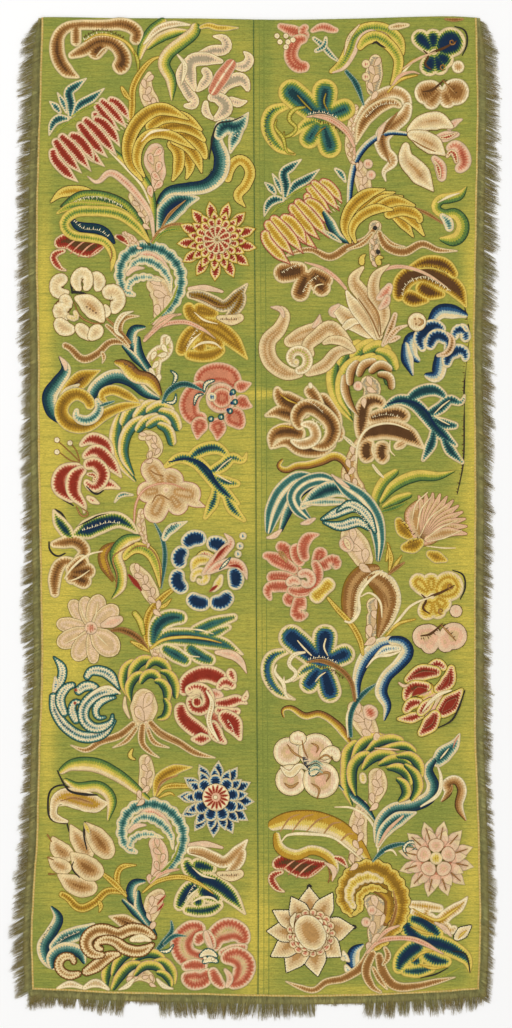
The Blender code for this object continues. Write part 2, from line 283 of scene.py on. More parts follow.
def swell(x, y):
    """Slow rise and fall of a cloth that was laid flat by hand, from nothing to its full height."""
    height = sizes().ripple
    wave = np.sin(x * 9.1 + 1.3 * np.sin(y * 2.3)) + np.sin(y * 6.7 + 1.9 * np.cos(x * 4.1) + 0.8)
    pucker = 0.35 * np.sin(y * 31.0 + 6.0 * x) * np.exp(-((x - MIDDLE_X) / 0.03) ** 2)
    return height * (0.5 + 0.25 * wave + 0.5 * pucker)


def tuck_height(x, y):
    """Height of the sewn tuck over the cloth around it."""
    downs, acrosses = np.array(TUCK).T
    down = TOP_Y - y
    fold = np.interp(down, downs, acrosses) + MIDDLE_X
    share = np.clip(np.minimum(down - downs[0], downs[-1] - down) / 0.05, 0, 1)
    away = x - fold
    rise = np.clip((away + TUCK_FOLD_WIDTH) / TUCK_FOLD_WIDTH, 0, 1)
    fall = np.clip((TUCK_FLAP_WIDTH - away) / (TUCK_FLAP_WIDTH * 0.6), 0, 1)
    return TUCK_RISE * share * rise * fall


def ground_height(x, y):
    """Top of the cloth anywhere on the panel."""
    return CLOTH_TOP + swell(x, y) + tuck_height(x, y)


def sizes():
    """The panel's sizes as the user last set them."""
    return bpy.context.scene.panel_sizes


# Materials
MATH = "ShaderNodeMath"
MIX = "ShaderNodeMix"
NOISE = "ShaderNodeTexNoise"
ATTRIBUTE = "ShaderNodeAttribute"
BUMP = "ShaderNodeBump"


def add_node(tree, kind, inputs=(), output=0, **settings):
    """Add one node with its settings; an input is a value or a socket that feeds it."""
    node = tree.nodes.new(kind)
    for key, value in settings.items():
        setattr(node, key, value)
    pairs = inputs.items() if isinstance(inputs, dict) else enumerate(inputs)
    for key, value in pairs:
        if isinstance(value, bpy.types.NodeSocket):
            tree.links.new(value, node.inputs[key])
        else:
            node.inputs[key].default_value = value
    return node.outputs[output]


def dry_wool(name):
    """A new material whose shader is dry, matt wool, with the node adder for its tree."""
    material = bpy.data.materials.new(name)
    material.use_nodes = True
    tree = material.node_tree
    shader = tree.nodes["Principled BSDF"]
    for key, value in (("Roughness", 0.93), ("Specular IOR Level", 0.12), ("Sheen Weight", 0.04)):
        shader.inputs[key].default_value = value
    return material, shader, partial(add_node, tree)


def wool_grain(node, scale, stretch=(1, 1, 1), detail=2.0):
    """Uneven wool on Object coordinates; scale times stretch is in tufts a metre."""
    where = node("ShaderNodeTexCoord", output=3)
    spread = node("ShaderNodeMapping", {"Vector": where, "Scale": stretch})
    return node(NOISE, {"Vector": spread, "Scale": scale, "Detail": detail})


def dye(shader, node, colour, light, height, deep):
    """Give a shader its colour, lightened or darkened by a number around one, and its bump in metres."""
    grey = node("ShaderNodeCombineXYZ", (light, light, light))
    colour = node(MIX, {0: 1.0, 6: colour, 7: grey}, 2, data_type="RGBA", blend_type="MULTIPLY")
    bump = node(BUMP, {"Height": height, "Distance": deep, "Strength": 0.6})
    tree = shader.id_data
    tree.links.new(colour, shader.inputs["Base Color"])
    tree.links.new(bump, shader.inputs["Normal"])


def crewel_material(name):
    """Long and short stitches of dyed worsted: matt, in soft bands that meet in a fine comb."""
    material, shader, node = dry_wool("worsted_stitches_" + name)
    deep = node(ATTRIBUTE, output=2, attribute_name="shade")
    run = node(ATTRIBUTE, output=2, attribute_name="run")
    comb = node(MATH, (run, COMB_PITCH / 2), operation="PINGPONG")
    comb = node(MATH, (comb, 1.6, -0.95), operation="MULTIPLY_ADD")
    ragged = node(MATH, (wool_grain(node, 330.0), 3.4, -1.7), operation="MULTIPLY_ADD")
    shift = node(MATH, (comb, ragged), operation="ADD")
    held = node(MATH, (deep, 0.33), operation="MULTIPLY", use_clamp=True)
    place = node(MATH, (shift, held, deep), operation="MULTIPLY_ADD")
    ramp = material.node_tree.nodes.new("ShaderNodeValToRGB")
    share = node(MATH, (place, BAND_SPAN), operation="DIVIDE")
    material.node_tree.links.new(share, ramp.inputs[0])
    ramp.color_ramp.interpolation = "CONSTANT"
    stops = ramp.color_ramp.elements
    words = SHADINGS[name].split()
    before = 0.0
    for word, depth in zip(words[::2], words[1::2]):
        at = float(depth) / BAND_SPAN
        stop = stops.new((before + at) / 2) if at else stops[0]
        stop.color = wool(word)
        before = at
    stops.remove(stops[-1])
    patchy = node(MATH, (wool_grain(node, 420.0, detail=1.0), 0.62, 0.69), operation="MULTIPLY_ADD")
    patchy = node(MATH, (wool_grain(node, 60.0), 0.5, patchy), operation="MULTIPLY_ADD")
    light = node(MATH, (patchy, 0.25), operation="SUBTRACT")
    # Painted shade and outline: the wool darkens towards each limb's rim, partly as a thin outline of darker
    # stitches and partly as painted shade where the raised wool meets the ground
    rim = node(ATTRIBUTE, output=2, attribute_name="rim")
    rim = node(MATH, (rim, 0.62, 0.50), operation="MULTIPLY_ADD", use_clamp=True)
    light = node(MATH, (light, rim), operation="MULTIPLY")
    stitch = node(MATH, (node(MATH, (run, 5.2), operation="MULTIPLY"),), operation="SINE")
    height = node(MATH, (stitch, 0.25, wool_grain(node, 900.0)), operation="MULTIPLY_ADD")
    dye(shader, node, ramp.outputs[0], light, height, 0.0005)
    return material


def stitches(name):
    """The material of one shading, made once."""
    return bpy.data.materials.get("worsted_stitches_" + name) or crewel_material(name)


def ground_material():
    """Ground of worsted laid in short level stitches: green, faded to yellow in long level streaks."""
    material, shader, node = dry_wool("worsted_ground")
    fade = node(ATTRIBUTE, output=2, attribute_name="tone")
    streak = wool_grain(node, 1.0, (16.0, 230.0, 1.0), 3.0)
    slub = wool_grain(node, 1.0, (90.0, 420.0, 1.0), 2.0)
    blotch = wool_grain(node, 9.0, (1.0, 1.6, 1.0), 3.0)
    share = node(MATH, (streak, 0.55, fade), operation="MULTIPLY_ADD")
    share = node(MATH, (blotch, 0.7, share), operation="MULTIPLY_ADD")
    share = node(MATH, (share, 0.625), operation="SUBTRACT", use_clamp=True)
    colour = node(
        MIX,
        {0: share, 6: wool("ground_green"), 7: wool("ground_yellow")},
        2,
        data_type="RGBA",
    )
    shade = node(MATH, (streak, -2.6, 1.4), operation="MULTIPLY_ADD", use_clamp=True)
    shade = node(MATH, (shade, 0.6), operation="MULTIPLY")
    colour = node(MIX, {0: shade, 6: colour, 7: wool("ground_dark")}, 2, data_type="RGBA")
    thread = wool_grain(node, 1.0, (260.0, 620.0, 1.0), 1.0)
    light = node(MATH, (slub, 0.75, 0.22), operation="MULTIPLY_ADD")
    light = node(MATH, (thread, 0.82, light), operation="MULTIPLY_ADD")
    dye(shader, node, colour, light, node(MATH, (slub, 0.6, thread), operation="MULTIPLY_ADD"), 0.0007)
    return material


def line_material(name, first, second, pitch):
    """Couched or woven wool cord: two close shades that change along its length."""
    material, shader, node = dry_wool(name)
    run = node(ATTRIBUTE, output=2, attribute_name="run")
    turn = node(MATH, (run, pitch), operation="PINGPONG")
    share = node(MATH, (turn, 0.5 / pitch, -0.15), operation="MULTIPLY_ADD")
    share = node(MATH, (wool_grain(node, 160.0), 0.8, share), operation="MULTIPLY_ADD", use_clamp=True)
    colour = node(MIX, {0: share, 6: wool(first), 7: wool(second)}, 2, data_type="RGBA")
    light = node(MATH, (wool_grain(node, 30.0), 0.5, 0.75), operation="MULTIPLY_ADD")
    dye(shader, node, colour, light, turn, 0.0006)
    return material


def fringe_material():
    """Cut ends of unwaxed wool: matt, grey-green at the heading and browner at the tips."""
    material, shader, node = dry_wool("cut_wool_fringe")
    out = node(ATTRIBUTE, output=2, attribute_name="out")
    tuft = node(ATTRIBUTE, output=2, attribute_name="tint")
    along = node(MATH, (wool_grain(node, 22.0), 1.2, out), operation="MULTIPLY_ADD")
    along = node(MATH, (along, 0.6), operation="SUBTRACT", use_clamp=True)
    colour = node(
        MIX,
        {0: along, 6: wool("fringe_root"), 7: wool("fringe_tip")},
        2,
        data_type="RGBA",
    )
    light = node(MATH, (wool_grain(node, 120.0), 0.5, 0.75), operation="MULTIPLY_ADD")
    light = node(MATH, (light, tuft), operation="ADD")
    dye(shader, node, colour, light, wool_grain(node, 500.0), 0.0005)
    return material


# Meshes
def store(mesh, name, values):
    """Keep one number a point on a mesh."""
    layer = mesh.attributes.new(name, "FLOAT", "POINT")
    layer.data.foreach_set("value", np.asarray(values, np.float32))


def placed_object(name, mesh):
    """Link a finished mesh, smooth it, and let it ride with the panel."""
    mesh.polygons.foreach_set("use_smooth", np.ones(len(mesh.polygons), bool))
    mesh.update()
    obj = bpy.data.objects.new(name, mesh)
    bpy.context.scene.collection.objects.link(obj)
    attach(obj, "root")
    return obj


def grid_mesh(name, columns, rows):
    """A grid made by the mesh operator, and its points' shares along both sides, from 0 to 1."""
    grid = bmesh.new()
    bmesh.ops.create_grid(grid, x_segments=columns, y_segments=rows, size=1.0)
    mesh = bpy.data.meshes.new(name)
    grid.to_mesh(mesh)
    grid.free()
    flat = np.empty(len(mesh.vertices) * 3)
    mesh.vertices.foreach_get("co", flat)
    shares = flat.reshape(-1, 3)[:, :2] / 2 + 0.5
    return mesh, shares[:, 0], shares[:, 1]


def face_up(mesh):
    """Turn a sheet's faces towards the sky."""
    mesh.update()
    normals = np.empty(len(mesh.polygons) * 3)
    mesh.polygons.foreach_get("normal", normals)
    if normals[2::3].sum() < 0:
        mesh.flip_normals()


def set_points(mesh, *coordinates):
    """Move all points of a mesh."""
    mesh.vertices.foreach_set("co", np.stack(coordinates, axis=1).ravel())
    mesh.update()


def solid_sheet(obj, thickness, offset=-1.0):
    """Give a sheet its thickness below its face."""
    wall = obj.modifiers.new("thickness", "SOLIDIFY")
    wall.thickness = thickness
    wall.offset = offset


# Where the ground has faded: column, row, spread across, spread down, amount
FADES = (
    (44, 330, 9, 70, 0.8), (48, 450, 16, 70, 1.0), (48, 560, 20, 80, 0.9), (60, 655, 42, 42, 1.0),
    (46, 720, 10, 70, 0.75), (48, 800, 10, 70, 0.4), (44, 250, 8, 60, 0.45), (44, 150, 8, 90, 0.2),
    (150, 480, 95, 34, 0.5), (225, 520, 50, 40, 0.55), (215, 430, 60, 30, 0.45), (110, 430, 60, 30, 0.4),
    (75, 590, 40, 26, 0.4), (215, 645, 40, 22, 0.35), (205, 600, 60, 26, 0.3), (200, 915, 50, 16, 0.45),
    (250, 940, 16, 70, 0.6), (264, 930, 12, 70, 0.75), (259, 300, 14, 40, 0.2), (258, 394, 20, 5, 1.2),
    (262, 640, 10, 60, 0.25), (473, 270, 12, 60, 0.8), (474, 400, 8, 90, 0.95), (470, 520, 16, 70, 0.75),
    (468, 640, 22, 60, 0.7), (472, 740, 12, 60, 0.45), (474, 860, 10, 70, 0.64), (474, 960, 9, 40, 0.6),
    (462, 890, 20, 30, 0.55), (440, 560, 40, 20, 0.5), (440, 745, 30, 20, 0.4), (400, 620, 40, 40, 0.25),
    (300, 640, 60, 26, 0.3), (340, 480, 60, 24, 0.2), (385, 990, 90, 6, 0.6), (445, 170, 26, 40, 0.3),
    (465, 120, 10, 60, 0.10), (300, 100, 34, 30, 0.3), (350, 300, 60, 30, 0.25), (205, 30, 34, 12, 0.3),
    (245, 110, 12, 60, 0.3), (248, 470, 9, 50, 0.35), (248, 250, 8, 50, 0.25), (150, 790, 60, 22, 0.25),
    (60, 900, 16, 60, 0.25), (365, 880, 80, 20, 0.15),
)


def ground_tone(x, y):
    """How far the ground has faded from green to yellow at each point."""
    column = (x - MIDDLE_X) / SQUARE + MIDDLE_COLUMN
    row = (TOP_Y - y) / SQUARE + TOP_ROW
    tone = np.full(len(column), 0.10)
    for at_column, at_row, wide, tall, amount in FADES:
        tone += amount * np.exp(-((column - at_column) / wide) ** 2 - ((row - at_row) / tall) ** 2)
    strip = np.exp(-((column - 266.5) / 7.0) ** 4)
    return np.clip(tone - 0.12 * strip, 0, 1.2)


def cloth_width(name, near, far):
    """One worked width from its outer edge to the seam."""
    mesh, across, up = grid_mesh(name, 74, 330)
    y = RIGHT_LOW.y + (TOP_Y - RIGHT_LOW.y) * up
    for _ in range(3):
        x = near(y) + (far(y) - near(y)) * across
        y = bottom_edge(x) + (top_edge(x) - bottom_edge(x)) * up
    set_points(mesh, x, y, ground_height(x, y))
    store(mesh, "tone", ground_tone(x, y))
    mesh.materials.append(bpy.data.materials.get("worsted_ground") or ground_material())
    face_up(mesh)
    obj = placed_object(name, mesh)
    solid_sheet(obj, CLOTH_TOP * 0.9)
    return obj


# Limbs of stitching
def numbers(words):
    """Numbers from a line of words, or as they are."""
    return [float(word) for word in words.split()] if isinstance(words, str) else words


def places(words):
    """Chart places from words such as 12,40 30,52, or as they are."""
    if not isinstance(words, str):
        return words
    return [tuple(float(part) for part in word.split(",")) for word in words.split()]


def smooth_path(points):
    """A smooth dense line through chart points, with its run."""
    points = np.asarray(points, float)
    if len(points) == 2:
        points = np.array((points[0], points.mean(axis=0), points[1]))
    before = np.vstack((2 * points[0] - points[1], points[:-1]))
    after = np.vstack((points[1:], 2 * points[-1] - points[-2]))
    tangents = (after - before) / 2
    share = np.linspace(0, 1, 15)[:, None]
    pieces = []
    for index in range(len(points) - 1):
        p, q = points[index], points[index + 1]
        gap = np.linalg.norm(q - p)
        m = tangents[index] / max(np.linalg.norm(tangents[index]), 1e-6) * gap
        n = tangents[index + 1] / max(np.linalg.norm(tangents[index + 1]), 1e-6) * gap
        curve = (
            (2 * share ** 3 - 3 * share ** 2 + 1) * p
            + (share ** 3 - 2 * share ** 2 + share) * m
            + (3 * share ** 2 - 2 * share ** 3) * q
            + (share ** 3 - share ** 2) * n
        )
        pieces.append(curve[:-1] if index < len(points) - 2 else curve)
    line = np.vstack(pieces)
    run = np.concatenate(((0,), np.cumsum(np.linalg.norm(np.diff(line, axis=0), axis=1))))
    return line, run


def half_widths(widths, run, length):
    """Half width at each station: smooth between the given ones, round at an end that isn't pointed."""
    widths = np.asarray(widths, float)
    at = np.linspace(0, length, len(widths))
    half = np.interp(run, at, widths)
    if len(widths) > 2:
        dense = np.linspace(0, length, 121)
        rough = np.interp(dense, at, widths)
        reach = max(3, int(120 / (len(widths) - 1) * 0.35))
        lead_in = 2 * rough[0] - rough[reach:0:-1]
        lead_out = 2 * rough[-1] - rough[-2:-reach - 2:-1]
        padded = np.concatenate((lead_in, rough, lead_out))
        kernel = np.hanning(2 * reach + 1)
        soft = np.convolve(padded, kernel / kernel.sum(), "valid")
        half = np.clip(np.interp(run, dense, soft), 0, None)
    for end, away in ((widths[0], run), (widths[-1], length - run)):
        if end > 0.3:
            cap = min(end, length / 2)
            half = half * np.sqrt(np.clip(1 - (1 - np.clip(away / cap, 0, 1)) ** 2, 0, 1))
    return np.maximum(half, 0.05)


def edge_distance(points, outline):
    """Distance of each point from a closed outline."""
    start = outline
    leg = np.roll(outline, -1, axis=0) - start
    square = np.maximum((leg ** 2).sum(axis=1), 1e-9)
    gap = points[:, None, :] - start[None, :, :]
    share = np.clip((gap * leg[None]).sum(axis=2) / square[None], 0, 1)
    return np.sqrt(((gap - share[..., None] * leg[None]) ** 2).sum(axis=2)).min(axis=1)


class Motif:
    """Limbs of stitching gathered into one mesh, drawn one over another.

    The title is the motif's name, the corner that its pattern's places count from, and the level that it
    starts on, where these aren't the usual ones. After an arrow stand its echo's name, how far right and
    down that is, and the shadings that it has instead.
    """

    def __init__(self, title):
        title, _, echo = title.partition(" > ")
        self.name, *more = title.split()
        self.corner = places(more.pop(0))[0] if "," in title else (0, 0)
        self.level = int(more[0]) if more else FIRST_LEVEL
        self.echo = echo.split()
        self.grid = bmesh.new()
        self.limbs = []
        self.shadings = []

    def __enter__(self):
        return self

    def __exit__(self, *problem):
        if problem[0] is None:
            self.finish(self.name)
            if self.echo:
                name, move, *dyes = self.echo
                self.finish(name, places(move)[0], dict(dye.split("=") for dye in dyes))
        self.grid.free()

    def limb(self, shading, points, widths, form="deep", same=False, wave=None, stripes=(3,)):
        """One tapering limb of stitches along a line; form says what its bands follow."""
        points = places(points)
        widths = numbers(widths)
        if not same:
            self.level += 1
        line, dense_run = smooth_path(points)
        length = dense_run[-1]
        widest = max(widths)
        along = int(np.clip(length / 1.7, 7, 46))
        if wave:
            along = int(np.clip(length / wave[0] * 7, along, 120))
        across = 8 if widest > 2.5 else 6
        if widest < 1.3:
            across = 4
        shares = np.linspace(0, 1, along + 1)
        stations = length * (0.45 * shares + 0.55 * (0.5 - 0.5 * np.cos(np.pi * shares)))
        half = half_widths(widths, stations, length)
        if wave:
            pitch, reach = wave
            bite = np.abs(np.sin(np.pi * stations / pitch))
            half = np.maximum(half * (1 - reach * (1 - bite)), 0.05)
        middle = np.stack([np.interp(stations, dense_run, line[:, axis]) for axis in (0, 1)], axis=1)
        heading = np.gradient(middle, axis=0)
        heading /= np.maximum(np.linalg.norm(heading, axis=1, keepdims=True), 1e-9)
        right = np.stack((-heading[:, 1], heading[:, 0]), axis=1)
        bmesh.ops.create_grid(self.grid, x_segments=along, y_segments=across, size=1.0)
        if shading not in self.shadings:
            self.shadings.append(shading)
        self.limbs.append({
            "grid": (along, across),
            "line": (stations, middle, right, half),
            "form": form,
            "stripes": stripes[0],
            "level": self.level,
            "thin": max(0.0, 2.6 - widest) * 0.5,
            "shading": self.shadings.index(shading),
        })

    def draw(self, pattern):
        """Work a pattern's lines: chart places, a stroke, and half widths or measures.

        Before a colon stand the shading and the way to work it, which hold until the next colon, as the
        measures do until the next stroke. Merged limbs share one level and so one outline, and the same
        level is the one before.
        """
        for line in pattern.strip().replace("/\n", "/ ").splitlines():
            head, colon, line = line.rpartition(":")
            if colon:
                shading, *words = head.split()
                self.level += "merge" in words
                same = "merge" in words or "same" in words
                form = next((word for word in words if word in FORMS), "deep")
                pairs = [word.split("=") for word in words if "=" in word]
                more = {key: places(value)[0] for key, value in pairs}
                kind = KINDS.get(words[0]) if words else None
                if kind is petals:
                    more = {"pointed": "point" in words, "form": form}
            path, stroke, given = line.partition("/")
            measures = numbers(given) if stroke else measures
            right, down = self.corner
            points = [(column + right, row + down, *size) for column, row, *size in places(path)]
            if kind:
                kind(self, shading, points, *measures, **more)
            else:
                self.limb(shading, points, measures, form, same, **more)

    def finish(self, name, move=(0, 0), dyes=None):
        """Place all points, store what the materials read; an echo is moved and dyed anew."""
        mesh = bpy.data.meshes.new(name)
        self.grid.to_mesh(mesh)
        flat = np.empty(len(mesh.vertices) * 3)
        mesh.vertices.foreach_get("co", flat)
        shares = flat.reshape(-1, 3)[:, :2]
        place = np.empty((len(shares), 2))
        height = np.empty(len(shares))
        shade = np.empty(len(shares))
        run = np.empty(len(shares))
        rim = np.empty(len(shares))
        slots = np.empty(len(mesh.polygons), np.int32)
        start = 0
        face = 0
        for limb in self.limbs:
            along, across = limb["grid"]
            count = (along + 1) * (across + 1)
            u, v = shares[start:start + count].T
            station = np.rint((u / 2 + 0.5) * along).astype(int)
            inner = across / (across - 2)
            side = np.clip(v * inner, -1, 1)
            skirt = np.abs(v) > 0.999
            stations, middle, right, half = limb["line"]
            reach = half[station] * side + np.sign(v) * skirt * 0.12
            spot = middle[station] + right[station] * reach[:, None]
            rims = (middle - right * half[:, None], middle + right * half[:, None])
            deep = edge_distance(spot, np.vstack((rims[0], rims[1][::-1])))
            deep[np.abs(side) > 0.999] = 0
            place[start:start + count] = spot
            rise = STITCH_RISE * (1 - np.exp(-deep / 5))
            height[start:start + count] = np.where(
                skirt,
                -0.0002,
                STITCH_START + STITCH_LAYER * limb["level"] + rise,
            )
            shade[start:start + count] = band_place(limb, deep, side, stations[station])
            run[start:start + count] = stations[station]
            # Distance in from the limb's edge, where the material paints the darker outline and shade; thin
            # limbs start a little way in and so darken less
            rim[start:start + count] = deep + limb["thin"]
            slots[face:face + along * across] = limb["shading"]
            start += count
            face += along * across
        x = place_x(place[:, 0] + move[0])
        y = place_y(place[:, 1] + move[1])
        set_points(mesh, x, y, ground_height(x, y) + height)
        store(mesh, "shade", shade)
        store(mesh, "run", run)
        store(mesh, "rim", rim)
        for shading in self.shadings:
            mesh.materials.append(stitches((dyes or {}).get(shading, shading)))
        mesh.polygons.foreach_set("material_index", slots)
        face_up(mesh)
        placed_object(name, mesh).name


def band_place(limb, deep, side, run):
    """What a limb's bands follow: its rim, its width, its length or its stripes."""
    form = limb["form"]
    if form == "deep":
        return deep
    if form == "across":
        return (side + 1) * 8
    if form == "back":
        return (1 - side) * 8
    if form == "along":
        return 16 * run / max(run.max(), 1e-6)
    if form == "stripes":
        return 8 - 8 * np.cos(np.pi * (side + 1) * limb["stripes"])
    return deep + (side + 1) * 3


FIRST_LEVEL = 3
FORMS = ("across", "back", "along", "stripes")


def work(pattern):
    """Work the motifs of a written pattern, parted by blank lines, each under its title."""
    for block in pattern.strip().replace(">\n", "> ").split("\n\n"):
        title, _, lines = block.partition("\n")
        with Motif(title) as m:
            m.draw(lines)


# Kinds of motif
def lobed(m, shading, points, waist):
    """A leaf of round lobes round a centre that share one outline; a lobe is column, row and radius."""
    m.level += 1
    centre, *lobes = points
    for column, row, radius in lobes:
        away = np.array((column - centre[0], row - centre[1]), float)
        length = max(np.linalg.norm(away), 0.1)
        end = np.array((column, row)) + away / length * radius * 0.95
        m.limb(shading, (centre, (column, row), tuple(end)), (waist * radius, radius, radius), same=True)


def petals(m, shading, points, count, inner, outer, width, turn=0.0, squash=1.0, pointed=False, form="deep"):
    """A ring of petals, each one drawn over the last; squash flattens the ring."""
    middle = np.array(points[0], float)
    profile = (0.4, 0.95, 0.9, 0.0) if pointed else (0.45, 0.85, 1.0, 0.95)
    for index in range(int(count)):
        angle = math.radians(turn + 360 * index / count)
        away = np.array((math.cos(angle), math.sin(angle) * squash))
        reach = width * (1 if squash == 1 else (abs(math.sin(angle)) + squash * abs(math.cos(angle))))
        line = (tuple(middle + away * inner), tuple(middle + away * outer))
        m.limb(shading, line, [reach * part for part in profile], form)


def along_line(line, run, at, step):
    """A point of a line at one place on its run, and its heading there."""
    root = np.array([np.interp(at, run, line[:, axis]) for axis in (0, 1)])
    on = np.array([np.interp(min(at + step, run[-1]), run, line[:, axis]) for axis in (0, 1)])
    return root, (on - root) / max(np.linalg.norm(on - root), 1e-6)


def comb(m, shading, points, reach, side=1, pitch=1.7, lean=0.15):
    """A row of single pale or dark stitches that stand on one side of a line."""
    line, run = smooth_path(points)
    m.level += 1
    for index in range(int(run[-1] / pitch)):
        at = pitch * (index + 0.5)
        root, heading = along_line(line, run, at, 1)
        out = np.array((-heading[1], heading[0])) * side + heading * lean
        swing = 0.75 + 0.5 * math.sin(index * 2.4)
        m.limb(shading, (tuple(root), tuple(root + out * reach * swing)), (0.5, 0.45, 0.0), same=True)


def pod(m, shading, points, angle, length, width, count=4):
    """A striped bud: fingers side by side that share a dome and part at their tips."""
    turn = math.radians(angle)
    along = np.array((math.cos(turn), math.sin(turn)))
    out = np.array((-along[1], along[0]))
    for index in range(count):
        side = (index + 0.5) / count - 0.5
        bow = 0.5 - 1.1 * side * side
        line = [
            tuple(np.array(points[0]) + along * length * reach + out * width * side * spread)
            for reach, spread in ((-bow, 0.7), (-0.15, 1.1), (0.2, 1.1), (0.46 + 0.1 * (index % 2), 0.9))
        ]
        finger = width / count
        m.limb(shading, line, (finger * 0.5, finger * 0.64, finger * 0.62, 0.3))


def bark(m, shading, line, widths):
    """A knobbly pale trunk: one limb with burrs that overlap up it from side to side."""
    m.limb(shading, line, widths)
    path, run = smooth_path(places(line))
    wide = max(numbers(widths))
    count = max(2, int(run[-1] / wide / 0.75))
    for index in range(count):
        at = run[-1] * (index + 0.35) / count
        root, heading = along_line(path, run, at, 2)
        out = np.array((-heading[1], heading[0])) * (1 if index % 2 else -1) * wide
        start = root + out * 0.42
        middle = root + out * 0.30 + heading * wide * 0.45
        tip = root - out * 0.12 + heading * wide * 1.05
        burr = (tuple(start), tuple(middle), tuple(tip))
        m.limb(BURRS.get(shading, "burr"), burr, (wide * 0.26, wide * 0.34, 0.3))


BURRS = {"pink_petal": "burr_pink", "cream_gold": "cream_gold"}


def scroll(m, shading, points, radius, turns, start, hand, *widths):
    """A spiral that winds in from its rim."""
    column, row = points[0]
    steps = max(4, int(turns * 8))
    line = []
    for index in range(steps + 1):
        share = index / steps
        angle = math.radians(start + hand * 360 * turns * share)
        reach = radius * (1 - 0.72 * share)
        line.append((column + reach * math.cos(angle), row + reach * math.sin(angle)))
    m.limb(shading, line, widths)


def spots(m, shading, points, radius):
    """Small round seeds or buttons."""
    m.level += 1
    for column, row in points:
        m.limb(shading, ((column - radius, row), (column + radius, row)), (radius, radius, radius), same=True)


KINDS = {"lobed": lobed, "petals": petals, "comb": comb, "pod": pod, "scroll": scroll, "spots": spots}


